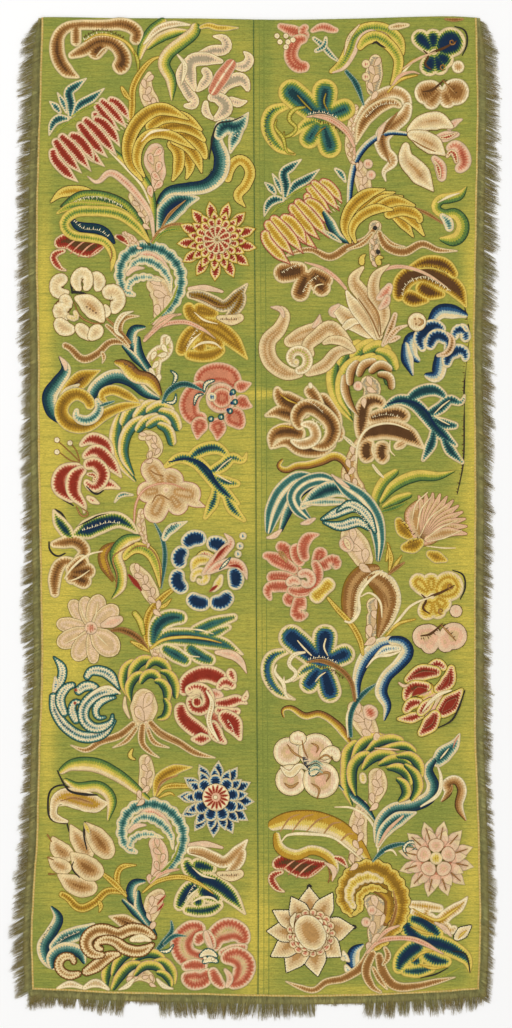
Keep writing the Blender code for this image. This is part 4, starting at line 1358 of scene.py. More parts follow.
def lower_left_leaves():
    """Leaves and scrolls of the lower half of the left width."""
    work("""
leaf_left_navy_lens 53,509
outline_ink: 1,0 9,5 15,17 20,25 / 1 1 1 .6
green_core: 0,0 5,11 13,22 23,34 / 1 7 7.5 1
green_core same: 18,27 31,22 47,15 64,11 77,17 87,28 / 2 10.5 10.5 9 6 .5
outline_ink: 23,18 35,12 45,7 57,4 / 0 .8 .8 0
tooth_pale comb: 29,22 42,18 55,14 68,15 / 2.6 -1

leaf_left_brown_curl 49,541
outline_ink: 0,0 1,9 8,15 17,12 / .6 .9 .9 .6
scroll_brown: 1,4 12,2 27,1 35,11 26,21 / 3 6.4 7 7 4
27,21 13,22 6,36 6,57 / 4 7 7 4
scroll_brown lobed: 17,32 33,21,8 39,30,8.5 35,40,8.5 23,37,7 / .6
stem_cream: 15,38 25,25 39,14 54,10 / 0.6 1.2 1.1 0.6
17,41 29,37 41,29 / .4 .9 .4

leaf_left_yellow_curl 103,537
olive_leaf: 15,6 2,13 0,24 10,45 / 2 5 5 1
outline_brown: 9,8 3,16 5,28 13,45 / .5 .8 .8 .4
yellow_leaf: 19,23 32,11 46,15 54,30 57,51 / 3 6 6 4.5 1
outline_brown: 25,16 35,9 48,12 56,26 58,48 / .4 .8 .8 .8 .4
fold_across back: 38,0 23,4 13,17 18,35 18,50 9,62 / 3 6.5 6.5 6 5 1
outline_brown: 32,6 19,13 10,21 14,38 13,51 / .4 .8 .8 .8 .4

leaf_left_teal_stem 154,521
stem_teal: 0,1 8,17 11,35 7,68 / 1 2.4 2.6 1
teal_leaf: 9,20 16,9 34,0 / 3 5.5 .5
tooth_dark comb: 12,15 17,7 24,3 / 2.5 -1

leaf_left_gold_fork 108,584
stem_gold: 40,68 38,48 41,30 54,14 72,0 / 2 3.6 3.8 3.4 1.5
lime_stem: 25,27 32,37 36,52 / 3 3.6 2
stem_gold: 64,14 56,22 47,24 / .5 2.4 1
stem_brown: 40,66 30,54 14,46 0,47 / 1.5 3.4 3.4 1
stem_gold: 42,68 32,62 22,57 / 1 3 1

leaf_left_oak 150,616
oak merge: 2,32 15,22 35,21 55,24 75,29 94,39 / 4 9 10 9 7 1
2,32 8,10 20,2 38,2 / 5 9.4 9.6 6.4
40,18 62,8 88,0 / 7 7.6 4
55,22 72,14 82,10 / 6 6 3
10,30 28,40 41,48 / 6 8.6 6
35,28 50,40 66,46 / 7 8.6 6
stem_gold: 0,33 13,24 35,21 56,23 72,27 / 1.6 1.6 1.5 1.2 .5
stem_cream: 26,29 38,39 50,41 / .4 1.1 .4
36,13 50,14 64,18 / .4 .9 .4
pink_petal: 64,36 82,39 91,46 97,58 / 2 5 4 .6
tooth_pale comb: 11,14 20,9 30,6 / 3

leaf_left_bole_arcs 123,660
arc_across back: 4,36 0,22 3,8 12,0 / 1 4.8 5.4 3
6,21 11,8 20,0 30,0 / 2 5 5.4 4
23,9 31,1 41,4 47,13 / 2 4.8 5.2 3
37,11 46,14 52,25 53,39 / 2 5 5.2 2
8,42 6,28 12,17 21,13 / 1 4.4 5 3
17,24 23,15 31,14 37,21 / 2 4.6 5 3
31,21 38,22 44,30 44,42 / 2 4.8 5 3
41,38 45,46 42,56 34,59 / 2 4.2 4.2 1.4

leaf_left_teal_bit 173,682
teal_spray: 0,0 6,6 13,12 / 2 3.6 2

leaf_left_green_hook 57,765
fold_across across: 2,8 15,0 38,0 60,10 79,24 94,37 / 3 7 7.5 6.5 5 2
7,14 21,22 42,22 54,34 51,56 / 2 5.5 6 5.5 1
outline_ink: 0,5 7,19 13,26 25,29 41,30 / .5 .8 1.2 1.6 .6

leaf_left_beige_half 48,785
outline_ink: 18,39 3,34 0,19 3,5 14,0 24,4 / .6 .9 .9 .9 .8 .4
beige_gold merge: 6,31 6,21 10,14 20,12 34,15 48,19 61,18 / 3 4.6 9 10.6 10.6 9 .8
5,23 7,32 21,37 / 4 4.2 1.4
stem_cream: 10,21 24,20 38,26 52,23 / .4 1 1 .4
outline_brown: 12,16 26,13 42,17 / .3 .8 .3
outline_ink: 19,38 21,47 / .8 .4

leaf_left_gold_twin 154,767
gold_leaf: 0,30 5,13 20,3 39,0 / 1 6 6 .6
stem_brown: 2,28 8,15 24,8 / .5 1.6 .6
stem_gold: 2,30 12,20 39,19 / 1 3.2 2.2
4,31 16,26 21,29 / .6 2 .6

leaf_left_teal_acanthus 122,804 > leaf_left_blue_acanthus -2,-557
teal_leaf wave=10,.28: 29,77 48,64 59,46 60,24 46,6 26,0 8,7 0,24 4,42 16,49 / 1 5 6.5 7 7.5 7.5 7.5 7 6 3
rose_petal: 15,20 24,8 38,12 50,24 / 1 4 4 1
teal_leaf wave=9,.25: 6,28 18,14 34,16 48,30 51,46 / 3 5 6 5 1
teal_leaf wave=7,.3: 7,45 12,34 26,30 42,34 / 4 5 4.4 1
rose_petal: 6,29 14,22 25,21 / 2 3 1
stem_green: 28,78 42,66 52,54 58,38 / 1 1.4 1.2 .5

leaf_left_brown_angle 186,839 > leaf_left_olive_angle 0,-556 scroll_tan=olive_angle
pink_petal: 1,6 19,5 38,9 / 2 3.6 1.4
scroll_tan merge: 0,11 14,13 28,19 38,23 50,14 62,0 / 4 6.4 6.6 6.4 6.4 1
56,8 53,21 45,31 36,37 / 5 6.4 5.4 1
outline_brown: 4,14 18,17 30,23 42,23 / .4 1 1 .4
bud_brown: 30,34 46,37 58,33 / 2 6 4
tooth_brown comb: 34,37 52,37 / 2.4 -1

leaf_left_vine 142,857 > leaf_left_gold_vine 2,-555 green_core=gold_vine stem_gold=stem_pink
green_core merge: 44,0 46,9 54,17 64,23 / 5 8 9 7
48,7 60,9 75,13 / 8 8 5
48,21 70,25 88,38 104,58 / 7 9.6 8.6 1
35,54 40,43 48,32 60,27 / 5 8.4 9 7
40,52 56,54 70,52 81,45 / 5 6.6 7 4.6
48,45 64,44 / 8 8
54,31 68,38 81,44 / 8 9 5
stem_cream: 42,49 48,39 57,31 / .4 1.3 .4
48,47 58,41 70,41 78,47 / .4 1.3 1.3 .4
50,10 60,18 74,22 / .4 1.2 .4
stem_gold: 0,36 16,24 40,20 58,27 72,37 / 1 2.4 2.6 2.2 .5
stem_pink: 8,27 20,16 38,12 / .8 2.4 1
tooth_pale comb: 42,45 48,33 54,25 / 2.4

leaf_left_gold_scroll 59,865 > leaf_left_beige_scroll 3,-549 stem_gold=root
stem_gold: 0,28 8,32 21,43 35,38 49,26 68,28 / 3.4 4 4.4 4 3.6 2
39,35 42,41 40,48 / 2 2.6 .5
60,26 58,11 63,2 78,0 / 2 3.2 3 .8
68,32 57,20 43,8 / 1.5 3.4 2

leaf_left_teal_curl 122,881 > leaf_left_teal_curl_upper 0,-554
teal_across across: 24,0 12,3 9,15 16,27 / 1.5 5 5 2
teal_across back: 16,9 17,27 27,43 35,55 / 2 5 4 .8
teal_across across: 0,18 11,29 25,45 / 1.5 4 1

leaf_left_brown_lens 108,916
scroll_brown: 0,0 16,5 34,13 44,15 / .6 7.5 6 1
outline_brown: 6,1 22,6 36,12 / .3 .9 .4

leaf_left_great_scroll 41,906
teal_across back: 10,0 17,12 10,27 2,41 7,56 16,63 / 1 5.5 6 6.5 6 2
tooth_dark comb: 11,20 4,30 0,42 / 2
teal_leaf: 54,17 39,26 23,33 9,44 / .8 7.4 8 4
tooth_pale comb: 39,26 25,32 15,39 / 2.4
teal_across across: 11,63 11,51 23,43 38,46 44,58 / 3 6 7 6.4 1.5
band_brown: 41,67 27,69 18,61 21,52 30,51 34,59 / 3 5 5 5 4.4 3
81,47 67,51 55,60 41,68 / 2.4 6.6 7 4
116,33 105,26 91,23 77,28 63,24 51,27 45,37 51,47 65,49 / 2 6.4 6.6 6.6 6.8 7 7 6 3
114,37 100,45 85,43 73,35 62,34 56,40 63,44 / 2 6 6.4 6.4 5.4 4.6 3
beige_petal: 88,34 101,32 111,35 / 2.4 5 1.4

leaf_left_foot_arcs 106,952
arc_across back: 0,36 0,22 5,10 14,3 / 2 5 5.4 3
6,24 12,10 22,1 34,0 / 2 5 5.4 3.4
26,10 38,2 50,2 59,8 / 2 4.6 5 3
46,10 58,10 66,20 68,33 / 2 5 5.4 2
6,38 14,24 24,14 36,12 / 2.4 5 5.4 3.4
28,24 38,14 50,14 59,22 / 2 4.8 5 3
50,20 58,22 64,29 65,35 / 2 4 4 2

leaf_left_teal_sprig 156,920
stem_teal: 0,31 10,20 16,10 15,0 / 2 3.6 2.6 1
7,25 18,16 31,16 / 2 2.6 .6
teal_outline: 2,31 12,31 18,24 / 1 2.4 1

leaf_left_hillocks 56,978
cream_gold: 0,11 14,6 28,10 / 1.4 4 2
26,11 40,5 54,12 / 2 5 1.4
62,12 71,8 79,0 / .8 3 1.4
100,0 108,8 118,11 / 1.4 3 .8
""")


def lower_left_flowers():
    """Flowers of the lower half of the left width."""
    work("""
flower_left_navy_ring 177,533
navy_petal: 7,15 15,6 30,6 / 7 9 7
29,12 40,11 51,20
7,35 2,25 10,14 / 6.4 9 6.4
4,36 0,48 10,59
11,61 20,69 34,70 / 7 9 7
32,68 45,69 54,58
56,57 59,46 55,33 / 6.4 9 6.4
rose_gold: 17,28 27,21 39,24 / 2 4.4 2
trefoil: 16,41 19,29 30,27 37,31 / 2 5.6 5.6 2
trefoil scroll: 24,45 / 8.6 1.1 150 1 3 4.4 4.4 3
trefoil: 35,59 41,51 45,41 / 2 5 2
seed_red: 32,59 37,55 41,52 / .6 2 .8
rose_petal: 25,42 37,29 48,17 54,9 47,0 / 2 5 5.4 4.6 .6
seed_red: 36,29 45,18 51,12 / .5 2.2 .5
rose_petal: 29,41 45,32 59,30 67,37 70,47 / 2 5 5.4 4.6 .6
seed_red: 51,33 61,33 66,38 / .5 2 .5
teal_outline: 42,37 48,31 54,24 / .6 2.4 .6
navy_petal spots: 66,3 63,13 61,21 / 3.8
""")
    with Motif("flower_left_star_lily") as m:
        for tip, wide in (
            ((70, 600), 8.4), ((56, 623), 8.4), ((57, 645), 10), ((75, 661), 10), ((94, 664), 7),
            ((84, 596), 8.4), ((100, 594), 10), ((118, 606), 10), ((118, 654), 13),
        ):
            middle = (0.45 * 91 + 0.55 * tip[0], 0.45 * 629 + 0.55 * tip[1])
            m.limb("lily_sand", ((91, 629), middle, tip), (3, wide * 0.9, wide, wide * 0.6))
        m.draw("""
pink_petal: 100,626 118,620 123,617 / 2 6.4 3
stem_cream: 80,604 84,616 89,624 / .4 .8 .4
98,602 96,614 93,624
64,644 76,638 86,632
108,646 101,639 95,633
rose_petal spots: 91,628 / 6.6
outline_brown spots: 88,626 92,625 95,629 91,632 87,631 / .7
""")
    work("""
flower_left_blue_peony 53,656
teal_rim: 0,0 9,12 8,24 1,36 / 1 5 5 3
navy_petal: 2,20 3,28 0,38 / 1 3.6 1
teal_rim: 0,36 2,54 13,71 31,81 50,77 63,63 / 4 5.6 6 6.2 6 2
tooth_dark comb: 1,52 9,66 21,76 / 2.2
teal_rim: 32,24 39,15 55,18 67,34 / 3.4 5.6 6 1.5
13,61 7,44 13,32 23,28 / 4 5.4 5.4 3
22,38 33,30 43,34 32,43 / 4.4 5.6 4.4 3
25,68 19,54 23,46 31,50 / 4 5 4 2
67,36 48,37 33,48 31,63 42,72 57,67 60,57 / 2 6 6.6 6.2 6 4.6 1.5
64,41 51,44 43,52 45,61 54,61 / 1.5 4 4.4 3.6 1.5
stem_cream: 26,53 39,38 55,31 68,38 / .5 1.6 1.8 1
seed_red spots: 22,47 23,34 / 1.6

flower_left_red_scroll 180,668
rose_petal merge: 26,42 34,50 42,60 / 5 8 4
26,28 34,26 44,28 / 4 6 2
red_petal: 3,28 7,14 23,6 39,10 51,21 / 5 8.4 9 9 4.4
37,22 45,14 56,20 / 3 6 4
0,34 3,49 16,61 33,70 / 6 8.6 8.8 4
33,35 46,35 58,32 68,36 / 4 6.4 6.4 1
34,41 48,45 61,42 / 4 6.6 3
49,0 52,8 56,15 / 4 5.6 2
62,33 66,28 67,22 / 3 3.6 .8
10,71 21,71 32,70 / 1.4 7.4 2
31,52 37,67 47,76 / 5 8 2
39,44 52,55 61,73 / 6 11 1.6
tooth_pale comb: 48,51 53,59 55,67 / 2.6
red_petal scroll: 18,33 / 14 1.25 210 1 6 6.6 6.4 6 5
rosette spots: 17,34 / 5.6
stem_cream: 26,22 32,34 29,54 39,74 / 1 2.8 2.8 1
""")
    with Motif("flower_left_navy_star") as m:
        m.draw("""
navy_star petals point: 216,799 / 12 14 39 6.4 4
216,799 / 13 12 33 5.6 18
navy_star petals: 216,798 / 9 8 24 7 28
petal_white spots: 216,797 / 14
""")
        for index in range(15):
            angle = math.radians(24 * index + 5)
            root = (216 + 4 * math.cos(angle), 797 + 4 * math.sin(angle))
            tip = (216 + 12.6 * math.cos(angle + 0.18), 797 + 12.6 * math.sin(angle + 0.18))
            m.limb("seed_red", (root, tip), (1.0, 1.5, 0.8), same=index > 0)
        m.draw("""
cream_leaf spots: 215.5,797 / 2.4
""")
    with Motif("flower_left_magnolia") as m:
        for line, wide in (
            ("92,858 80,842 70,824", 9.5), ("112,858 100,842 85,822", 12), ("74,858 60,850 52,836", 10),
            ("72,869 60,866 48,857", 8.5), ("98,888 78,886 57,874", 11), ("104,874 88,868 70,852", 12.5),
        ):
            m.limb("bud_brown", line, (wide * 0.55, wide, wide * 0.85, 1))
        m.draw("""
outline_ink: 85,821 84,835 87,850 / .7 .9 .5
74,861 72,868 80,878 / .4 .7 .4
outline_brown: 47,834 52,842 / .8 .4
47,857 54,860
48,874 56,874
gold_leaf: 84,822 87,828 90,834 / 1 2.6 1
""")
    work("""
flower_left_red_rose 181,927
rose_band: 31,26 17,32 5,28 1,15 10,4 25,0 / 5 10.4 12 12 11 6
15,19 19,11 27,7 / 4 7 4
33,25 35,11 47,3 59,7 65,19 / 5 11 13 11 5
24,3 29,13 32,23 / 4 6 4
27,39 11,38 0,41 / 5 7 4
28,41 24,50 13,53 0,48 / 5 9.8 10.6 5
37,27 51,23 67,19 / 4 6.4 3.4
39,32 55,30 63,38 59,51 46,59 / 5 11 12.4 10 5
30,40 36,53 44,61 / 5 7 4
rose_petal: 24,3 27,13 31,22 / 2 3.4 2
43,41 49,51 45,61 / 1.4 4 2
teal_outline: 18,30 27,25 37,30 / 2 4.6 2
21,36 29,32 38,35 / 2 4 2
cream_leaf spots: 24,31 32,32 / 2
""")


def lower_right_leaves():
    """Leaves and scrolls of the lower half of the right width."""
    work("""
leaf_right_brown_arch 344,545
brown_fold across: 6,74 6,55 10,39 20,28 36,23 / 6.5 9 9.6 9 4
brown_fold back: 24,31 38,39 45,53 42,71 34,93 / 8 13 12 9 2
stem_cream: 0,76 7,77 15,66 15,51 25,36 39,25 / 1 1.8 1.6 1.4 1.4 .6
16,52 26,48 36,57 38,73 / .5 1.2 1.2 .5
outline_brown: 8,65 9,47 18,35 / .4 .9 .4
42,33 51,49 50,63 / .4 1 .4
28,39 40,49 44,63 / .4 .9 .4
stem_gold: 44,0 47,13 45,27 / .8 2.8 1
58,10 52,19 47,27 / .6 2 1
stem_brown: 61,17 52,23 44,30 / .8 2.2 1

leaf_right_gold_trefoil 385,570 > leaf_right_green_trefoil 2,-544 trefoil=green_core pink_lobe=scroll_tan
trefoil lobed: 47,26 33,12,9.5 46,11,9 64,16,15.5 58,34,9.5 42,41,10 53,41,9 / .7
outline_ink: 67,0 78,5 80,18 75,30 / .4 .8 .8 .4
tooth_brown: 39,30 47,26 57,22 70,15 / .8 1.4 1.2 .5
36,24 41,30 38,38 45,44 / .4 1.2 1.2 .4
outline_brown scroll: 65,16 / 3.4 1.1 0 1 .7 .7 .6
56,41 / 3.4 1.1 60 1 .7 .7 .6
stem_cream: 3,63 15,48 27,35 49,26 / 1.2 1.3 1.2 .6
stem_gold: 0,67 13,54 31,49 / 1 1.8 .8
pink_lobe spots: 71,41 / 6.6
pink_lobe lobed: 55,61 39,67,12.5 44,76,8.5 69,66,14 61,74,9 / .7
tooth_brown: 35,66 45,64 56,55 / .6 1.4 .6
tooth_brown comb: 35,68 45,65 55,56 / 3 1 2.2
55,54 63,62 70,70 / 3.4 -1 2.2
outline_brown: 55,54 63,62 71,71 / .4 1.2 .4

leaf_right_navy_lobed 267,636 >
leaf_right_green_lobed 0,-545 blue_core=lime_core stem_brown=stem_pink stem_cream=lime_stem
blue_core: 29,64 12,56 1,39 4,22 23,14 / 1 6 7 7 3
blue_core lobed: 55,28 24,1,13.5 58,0,13 78,18,11 42,48,10.5 63,56,12 / .75
blue_core same: 33,19 53,22 75,26 / 8 13 9
25,46 38,34 53,29 / 1 6 6
stem_cream: 39,16 27,19 22,28 29,38 18,46 17,40 / 1 2.4 2.2 2 2 .5
10,28 8,36 16,47 20,61 28,63 / .6 1.8 2 1.6 .5
tooth_dark comb: 5,54 0,42 0,29 8,18 / 2.2 -1
stem_brown: 39,26 55,25 73,33 84,46 88,66 / .8 2.4 2.6 2.4 1.4
tooth_pale comb: 41,24 55,22 71,28 / 2.4 -1
tooth_brown comb: 51,29 65,33 77,41 / 2.6
stem_cream: 30,4 37,12 45,20 / .5 .9 .6
59,2 57,11 61,20 / .6 .9 .5
48,46 53,40 59,36 / .5 .8 .4

leaf_right_blue_ribbon 357,640
blue_across across: 1,60 0,40 8,19 23,5 39,0 / 2 5 7 7.5 5
blue_across back: 31,0 45,3 50,12 41,25 29,37 24,52 30,66 27,81 / 4 6.5 7 6 6 6.5 4.4 1
blue_leaf: 15,20 28,10 45,8 / 1 4.6 3
tooth_pale comb: 23,15 33,10 45,9 / 2 -1 2
stem_cream: 9,28 19,17 33,15 44,11 / .5 1.4 1.6 .8

leaf_right_teal_stem 347,682
stem_teal: 4,56 3,38 7,24 17,11 32,0 / 2 2.8 2.8 2.8 .6
stem_cream: 1,56 0,34 5,20 / .5 1.2 .5

leaf_right_gold_scroll 283,597
gold_across across: 1,121 0,113 8,111 22,119 37,117 55,129 67,146 / 1 2.6 3.6 3.6 3.8 4.6 2
stem_gold: 44,0 55,13 68,27 77,43 80,59 / 1.5 2.8 2.8 3.2 1.5

leaf_right_striped_arcs 346,738
arc_across back: 6,68 0,48 0,28 2,13 12,3 / 1 5 5.6 6 4
6,22 15,7 28,0 42,1 / 2 5.4 6 4
20,14 32,4 46,1 58,4 / 2 5 5.4 4
30,14 46,9 60,8 70,15 / 2 4 4.6 3
10,58 6,42 7,28 15,19 25,16 / 1 4.6 5.6 5.6 4
16,32 26,20 38,16 51,19 / 2 5.4 6 4
32,27 44,22 56,21 65,27 / 2 5 5.4 4
50,18 64,18 73,27 75,40 / 2 5 5.4 3
40,30 52,30 61,36 64,48 / 2 5.4 5.6 3
58,26 69,36 72,50 65,63 / 2 5 5.4 2
50,40 58,46 60,56 52,64 / 2 5 5 1.4
pink_petal: 28,10 42,11 54,12 / .5 1.4 .5

leaf_right_teal_ribbon 372,733
teal_leaf: 88,0 82,12 72,21 62,33 / .6 6 9 5
outline_pink: 87,2 83,9 81,15 / .3 .9 .3
stem_cream: 68,26 73,20 77,15 / .4 .9 .4
teal_across back: 63,25 56,37 61,53 56,65 38,73 20,76 8,89 4,111 / 3 5.5 6.5 6.8 6 5.6 5.6 2
stem_cream: 65,31 69,45 66,61 48,74 / .8 2 2 .8
teal_leaf: 5,115 12,99 25,87 45,79 / 2 7 8 1
stem_pink: 6,113 16,97 32,82 / 1 2 1
stem_teal: 0,129 12,117 28,111 42,113 / 1 3 2.4 .8
stem_cream: 12,119 20,117 25,123 / .4 1.2 .6
teal_outline: 36,123 32,115 38,109 46,113 40,117 / 1 2 2 2 .6

leaf_right_brown_hook 441,780
brown_across back: 0,22 7,12 5,4 15,0 21,10 18,26 25,41 / 1 4.4 4.6 5 4.8 4 .8
stem_brown: 3,17 10,10 11,4 / .6 2 1

leaf_right_teal_slip 334,785
teal_across back: 4,0 18,11 32,23 42,37 / 1 4 3.6 1
stem_cream: 0,22 18,23 34,33 43,50 44,73 / .5 1.2 1.4 1.2 .8

leaf_right_gold_hook 268,814
gold_fold across: 0,13 18,7 44,7 70,15 90,32 103,49 / 5 9.6 11 9.6 7.6 2
stem_brown: 12,18 22,4 32,0 / .4 1.1 .4
24,18 35,4 46,0
38,18 50,6 62,2
54,22 64,10 74,8
70,30 80,20 86,20
gold_fold back: 8,18 12,34 28,41 44,36 60,42 67,54 63,67 / 3 5.5 5.6 5 5 4.6 1
stem_cream: 13,28 20,21 42,20 64,23 80,34 94,46 / .6 1.6 1.6 1.4 1.2 .5
pink_petal: 56,48 66,56 64,68 / 1 3.6 .6

leaf_right_red_half 272,857 > leaf_left_red_half -218,-621
red_leaf: 0,9 14,5 32,11 55,6 / 5 9.8 10.8 2
outline_pink: 8,15 20,5 26,2 / .3 1 .3
16,18 28,7 36,3 / .3 .9 .3
24,21 34,11 42,6 / .3 1 .3
34,22 43,14 49,10 / .3 .9 .3
red_leaf: 12,14 0,20 5,31 13,35 / 2 4 4 1
60,0 69,3 76,11 / 2 4 1
outline_brown: 56,10 58,19 56,26 / .4 .8 .4

leaf_right_brown_acanthus 344,868
olive_leaf: 10,36 10,20 24,10 42,18 50,34 40,58 / 8 13 14 12 9 3
gold_dark_rim wave=9,.26: 22,87 40,72 54,54 58,32 49,12 32,0 13,3 2,16 0,34 10,49 /
1.5 6.4 8.4 9 10 10 9.6 9.4 8.6 4
trefoil wave=8,.26: 11,41 5,28 10,15 24,9 40,13 / 3 5.6 6.4 6.4 3
gold_dark_rim wave=7,.26: 8,48 16,40 16,28 28,20 44,24 / 2 4.6 5 5 1.5
stem_brown: 28,80 44,62 52,40 49,22 / .6 1.8 1.8 .6

leaf_right_gold_angle 407,896
angle_gold merge: 0,8 17,10 37,13 / 4 5.6 4
3,14 17,22 31,26 41,18 54,9 61,0 / 4.6 6.6 7 6.6 6 .8
23,10 19,18 29,24 / 4 5.6 5
33,26 44,34 50,30 / 5 6 3
stem_gold: 5,12 17,19 31,24 45,16 57,6 / .5 1.4 1.6 1.4 .4
ivory_petal: 47,44 56,36 65,29 / 3 7 1
stem_gold: 51,43 55,38 60,34 / .4 1.6 .4
rose_petal: 27,26 37,32 45,41 / 1 3 1

leaf_right_vine 366,918
yellow_rim merge: 39,0 43,12 54,22 70,26 / 7 9.4 9.4 8
40,0 56,3 68,12 76,20 / 6 8.4 9 5
54,22 74,26 90,33 101,42 104,55 / 8 9.6 9 7 .8
31,56 36,42 46,32 60,26 / 5 9.4 10 8
34,53 52,53 70,49 / 4.6 7.4 4.6
42,44 58,42 / 8 7
54,34 70,42 86,44 / 6 8.6 5
stem_gold: 46,44 56,35 68,33 / .5 1.7 .5
52,46 66,50 80,49
44,8 56,14 68,16 / .5 1.8 .5
outline_ink: 86,33 98,35 102,42 104,55 / .4 .8 .8 .5
54,60 70,56 82,50 / .3 .8 .3
stem_pink: 0,36 12,24 30,20 50,22 78,36 / 1.5 2.8 2.6 2.8 .8
10,24 20,13 34,7 / 1 2.4 1

leaf_right_hillock_spray 428,968
stem_green: 0,14 18,7 32,0 / .4 1 .4
""")


def lower_right_flowers():
    """Flowers of the lower half of the right width."""
    work("""
flower_right_honeysuckle 262,534
salmon_petal: 40,42 29,30 21,14 13,13 / 5 7 8.6 5
36,38 22,30 6,22 0,23 / 4 6.6 7.6 3
41,32 35,22 34,9 / 5 6.8 6.8
44,28 41,14 46,4 58,0 / 5 6.4 6.4 1
54,37 57,24 61,13 / 6 7.4 8
54,34 64,30 73,27 73,36 / 5 6.8 7 4
38,50 22,44 4,43 / 6 7.4 6
34,54 16,52 6,56 9,67 / 5 6.4 6.4 2
44,58 32,63 21,69 / 6 8 8
39,60 37,73 36,81 47,80 / 6 8 7.6 2
stem_brown: 26,27 21,19 17,18 25,29 / .4 1.2 1.2 .4
salmon_petal: 51,26 56,38 51,52 36,58 25,54 / 4 5.8 6 6 4
rose_petal scroll: 44,46 / 8 1 200 1 4 5 5 4
rose_petal: 25,52 31,46 39,50 / 4 5 3
trefoil: 71,45 62,55 49,67 / 9 6.8 9.4
outline_pink: 30,58 41,60 51,56 / .3 1 .4

flower_right_gold_rose 396,664
gold_hollow merge: 14,20 28,26 38,22 / 6 9 7
18,44 32,40 48,30 / 7 10 8
28,58 36,50 46,44 / 6 9 8
rose_gold: 31,4 42,0 51,6 / 3 6.4 3
8,18 24,9 46,8 / 3 9.4 5
9,38 14,26 36,22 / 3 9 4
38,28 52,17 56,0 / 4 8.6 3
8,50 15,40 28,38 / 4 6.6 4
41,52 54,40 67,24 / 6 11.4 1.5
0,55 15,54 29,49 / 1.6 6.4 4
22,72 34,60 42,46 / 3 9.4 5
22,52 28,44 38,34 / 4 6.6 3
seed_red: 15,13 28,10 40,9 / 1 3 1
16,32 22,27 32,26 / 1 4.4 1
44,26 51,18 53,10 / 1 2.6 1
46,48 53,41 61,34 / 1 4.6 1
28,64 35,57 38,50 / 1 3 1
outline_ink: 42,64 56,56 64,40 69,26 / .4 .9 .9 .4
stem_cream: 26,48 34,38 44,30 56,26 / .6 2 2 .8
pink_petal: 2,18 8,22 14,20 / 1 2 .6
""")
    with Motif("flower_right_poppy") as m:
        m.draw("""
poppy spots: 288,752 / 15
316,751 / 18
poppy: 290,742 298,738 304,744 / 4 8 6
poppy spots: 291,780 / 16
321,780 / 18.5
poppy: 320,758 334,752 337,762 / 4 7 3
cream_leaf: 280,766 290,774 300,766 308,770 / 1 4 4 1
outline_brown: 284,783 291,787 299,782 / .6 1.8 .6
287,744 294,753 305,759 / .4 1.2 .4
311,743 318,747 316,753
316,776 329,773 326,782 / .4 1.5 .4
311,783 319,789 317,799 / .4 1.3 .4
318,760 326,755 333,760 / .4 1.2 .4
302,740 304,750 308,758 / .3 .9 .3
teal_outline: 310,776 316,767 317,763 / 3 5.6 4
tooth_dark comb: 302,757 304,764 308,770 / 5 -1 1.6 .2
""")
        for row in (764, 768, 772):
            m.limb("stem_teal", ((309, row), (316, row - 3), (323, row + 1)), (0.4, 1.2, 0.5))
    with Motif("flower_right_dahlia") as m:
        m.draw("""
petal_along petals point along: 436,859 / 12 12 39 6.6 12
436,859 / 11 10 31 6.2 27
pink_petal petals: 436,858 / 5 5 20 8.6 -18
""")
        for index in range(12):
            angle = math.radians(30 * index + 12)
            root = (436 + 20 * math.cos(angle), 859 + 20 * math.sin(angle))
            tip = (436 + 33 * math.cos(angle), 859 + 33 * math.sin(angle))
            m.limb("outline_brown", (root, tip), (0.9, 0.5, 0.3), same=index > 0)
        m.draw("""
trefoil spots: 436,858 / 6.6
""")
    with Motif("flower_right_lotus") as m:
        for tip, wide in (
            ((309, 886), 11.5), ((333, 892), 9.5), ((355, 927), 11.5), ((342, 957), 11), ((318, 977), 11),
            ((286, 973), 11), ((270, 957), 10), ((266, 931), 10), ((272, 910), 8.5), ((291, 896), 9.5),
        ):
            middle = (0.5 * 310 + 0.5 * tip[0], 0.5 * 932 + 0.5 * tip[1])
            m.limb("ivory_petal", ((310, 932), middle, tip), (6, wide * 1.1, wide * 1.1, 0.5))
        m.draw("""
outline_ink: 307,889 309,885 312,887 / .5 1.2 .5
352,925 356,927 353,929 / .5 1 .5
""")
        for reach, count, turn in ((25, 17, 0), (20, 14, 12)):
            petals(m, "rose_scale", [(311, 933)], count, reach - 9, reach, 3.6, turn=turn, squash=0.98)
        m.draw("""
cream_leaf petals: 311,933 / 12 9 18 3.4 8
cream_leaf: 300,916 309,930 320,948 / 11 15 12
296,912 292,920 293,928 / 1 3 1
""")
    work("""
flower_right_blue_buds 342,944
blue_across across: 22,0 13,7 11,18 15,31 / 1 6 7 1.5
blue_leaf: 1,6 3,13 8,18 / 1 4 1
3,20 6,26 12,32 / 2 4 1.5
navy_petal: 0,12 2,17 / 2 2.6 1
""")


def knots(side, pattern):
    """Work the trunk of one width from knot to knot: a shading, chart places and half widths on each line."""
    for number, row in enumerate(pattern.strip().splitlines()):
        shading, line = row.split(":")
        path, widths = line.split("/")
        with Motif(f"trunk_{side}_{number:02d} 0,0 0") as m:
            bark(m, shading, path, widths)


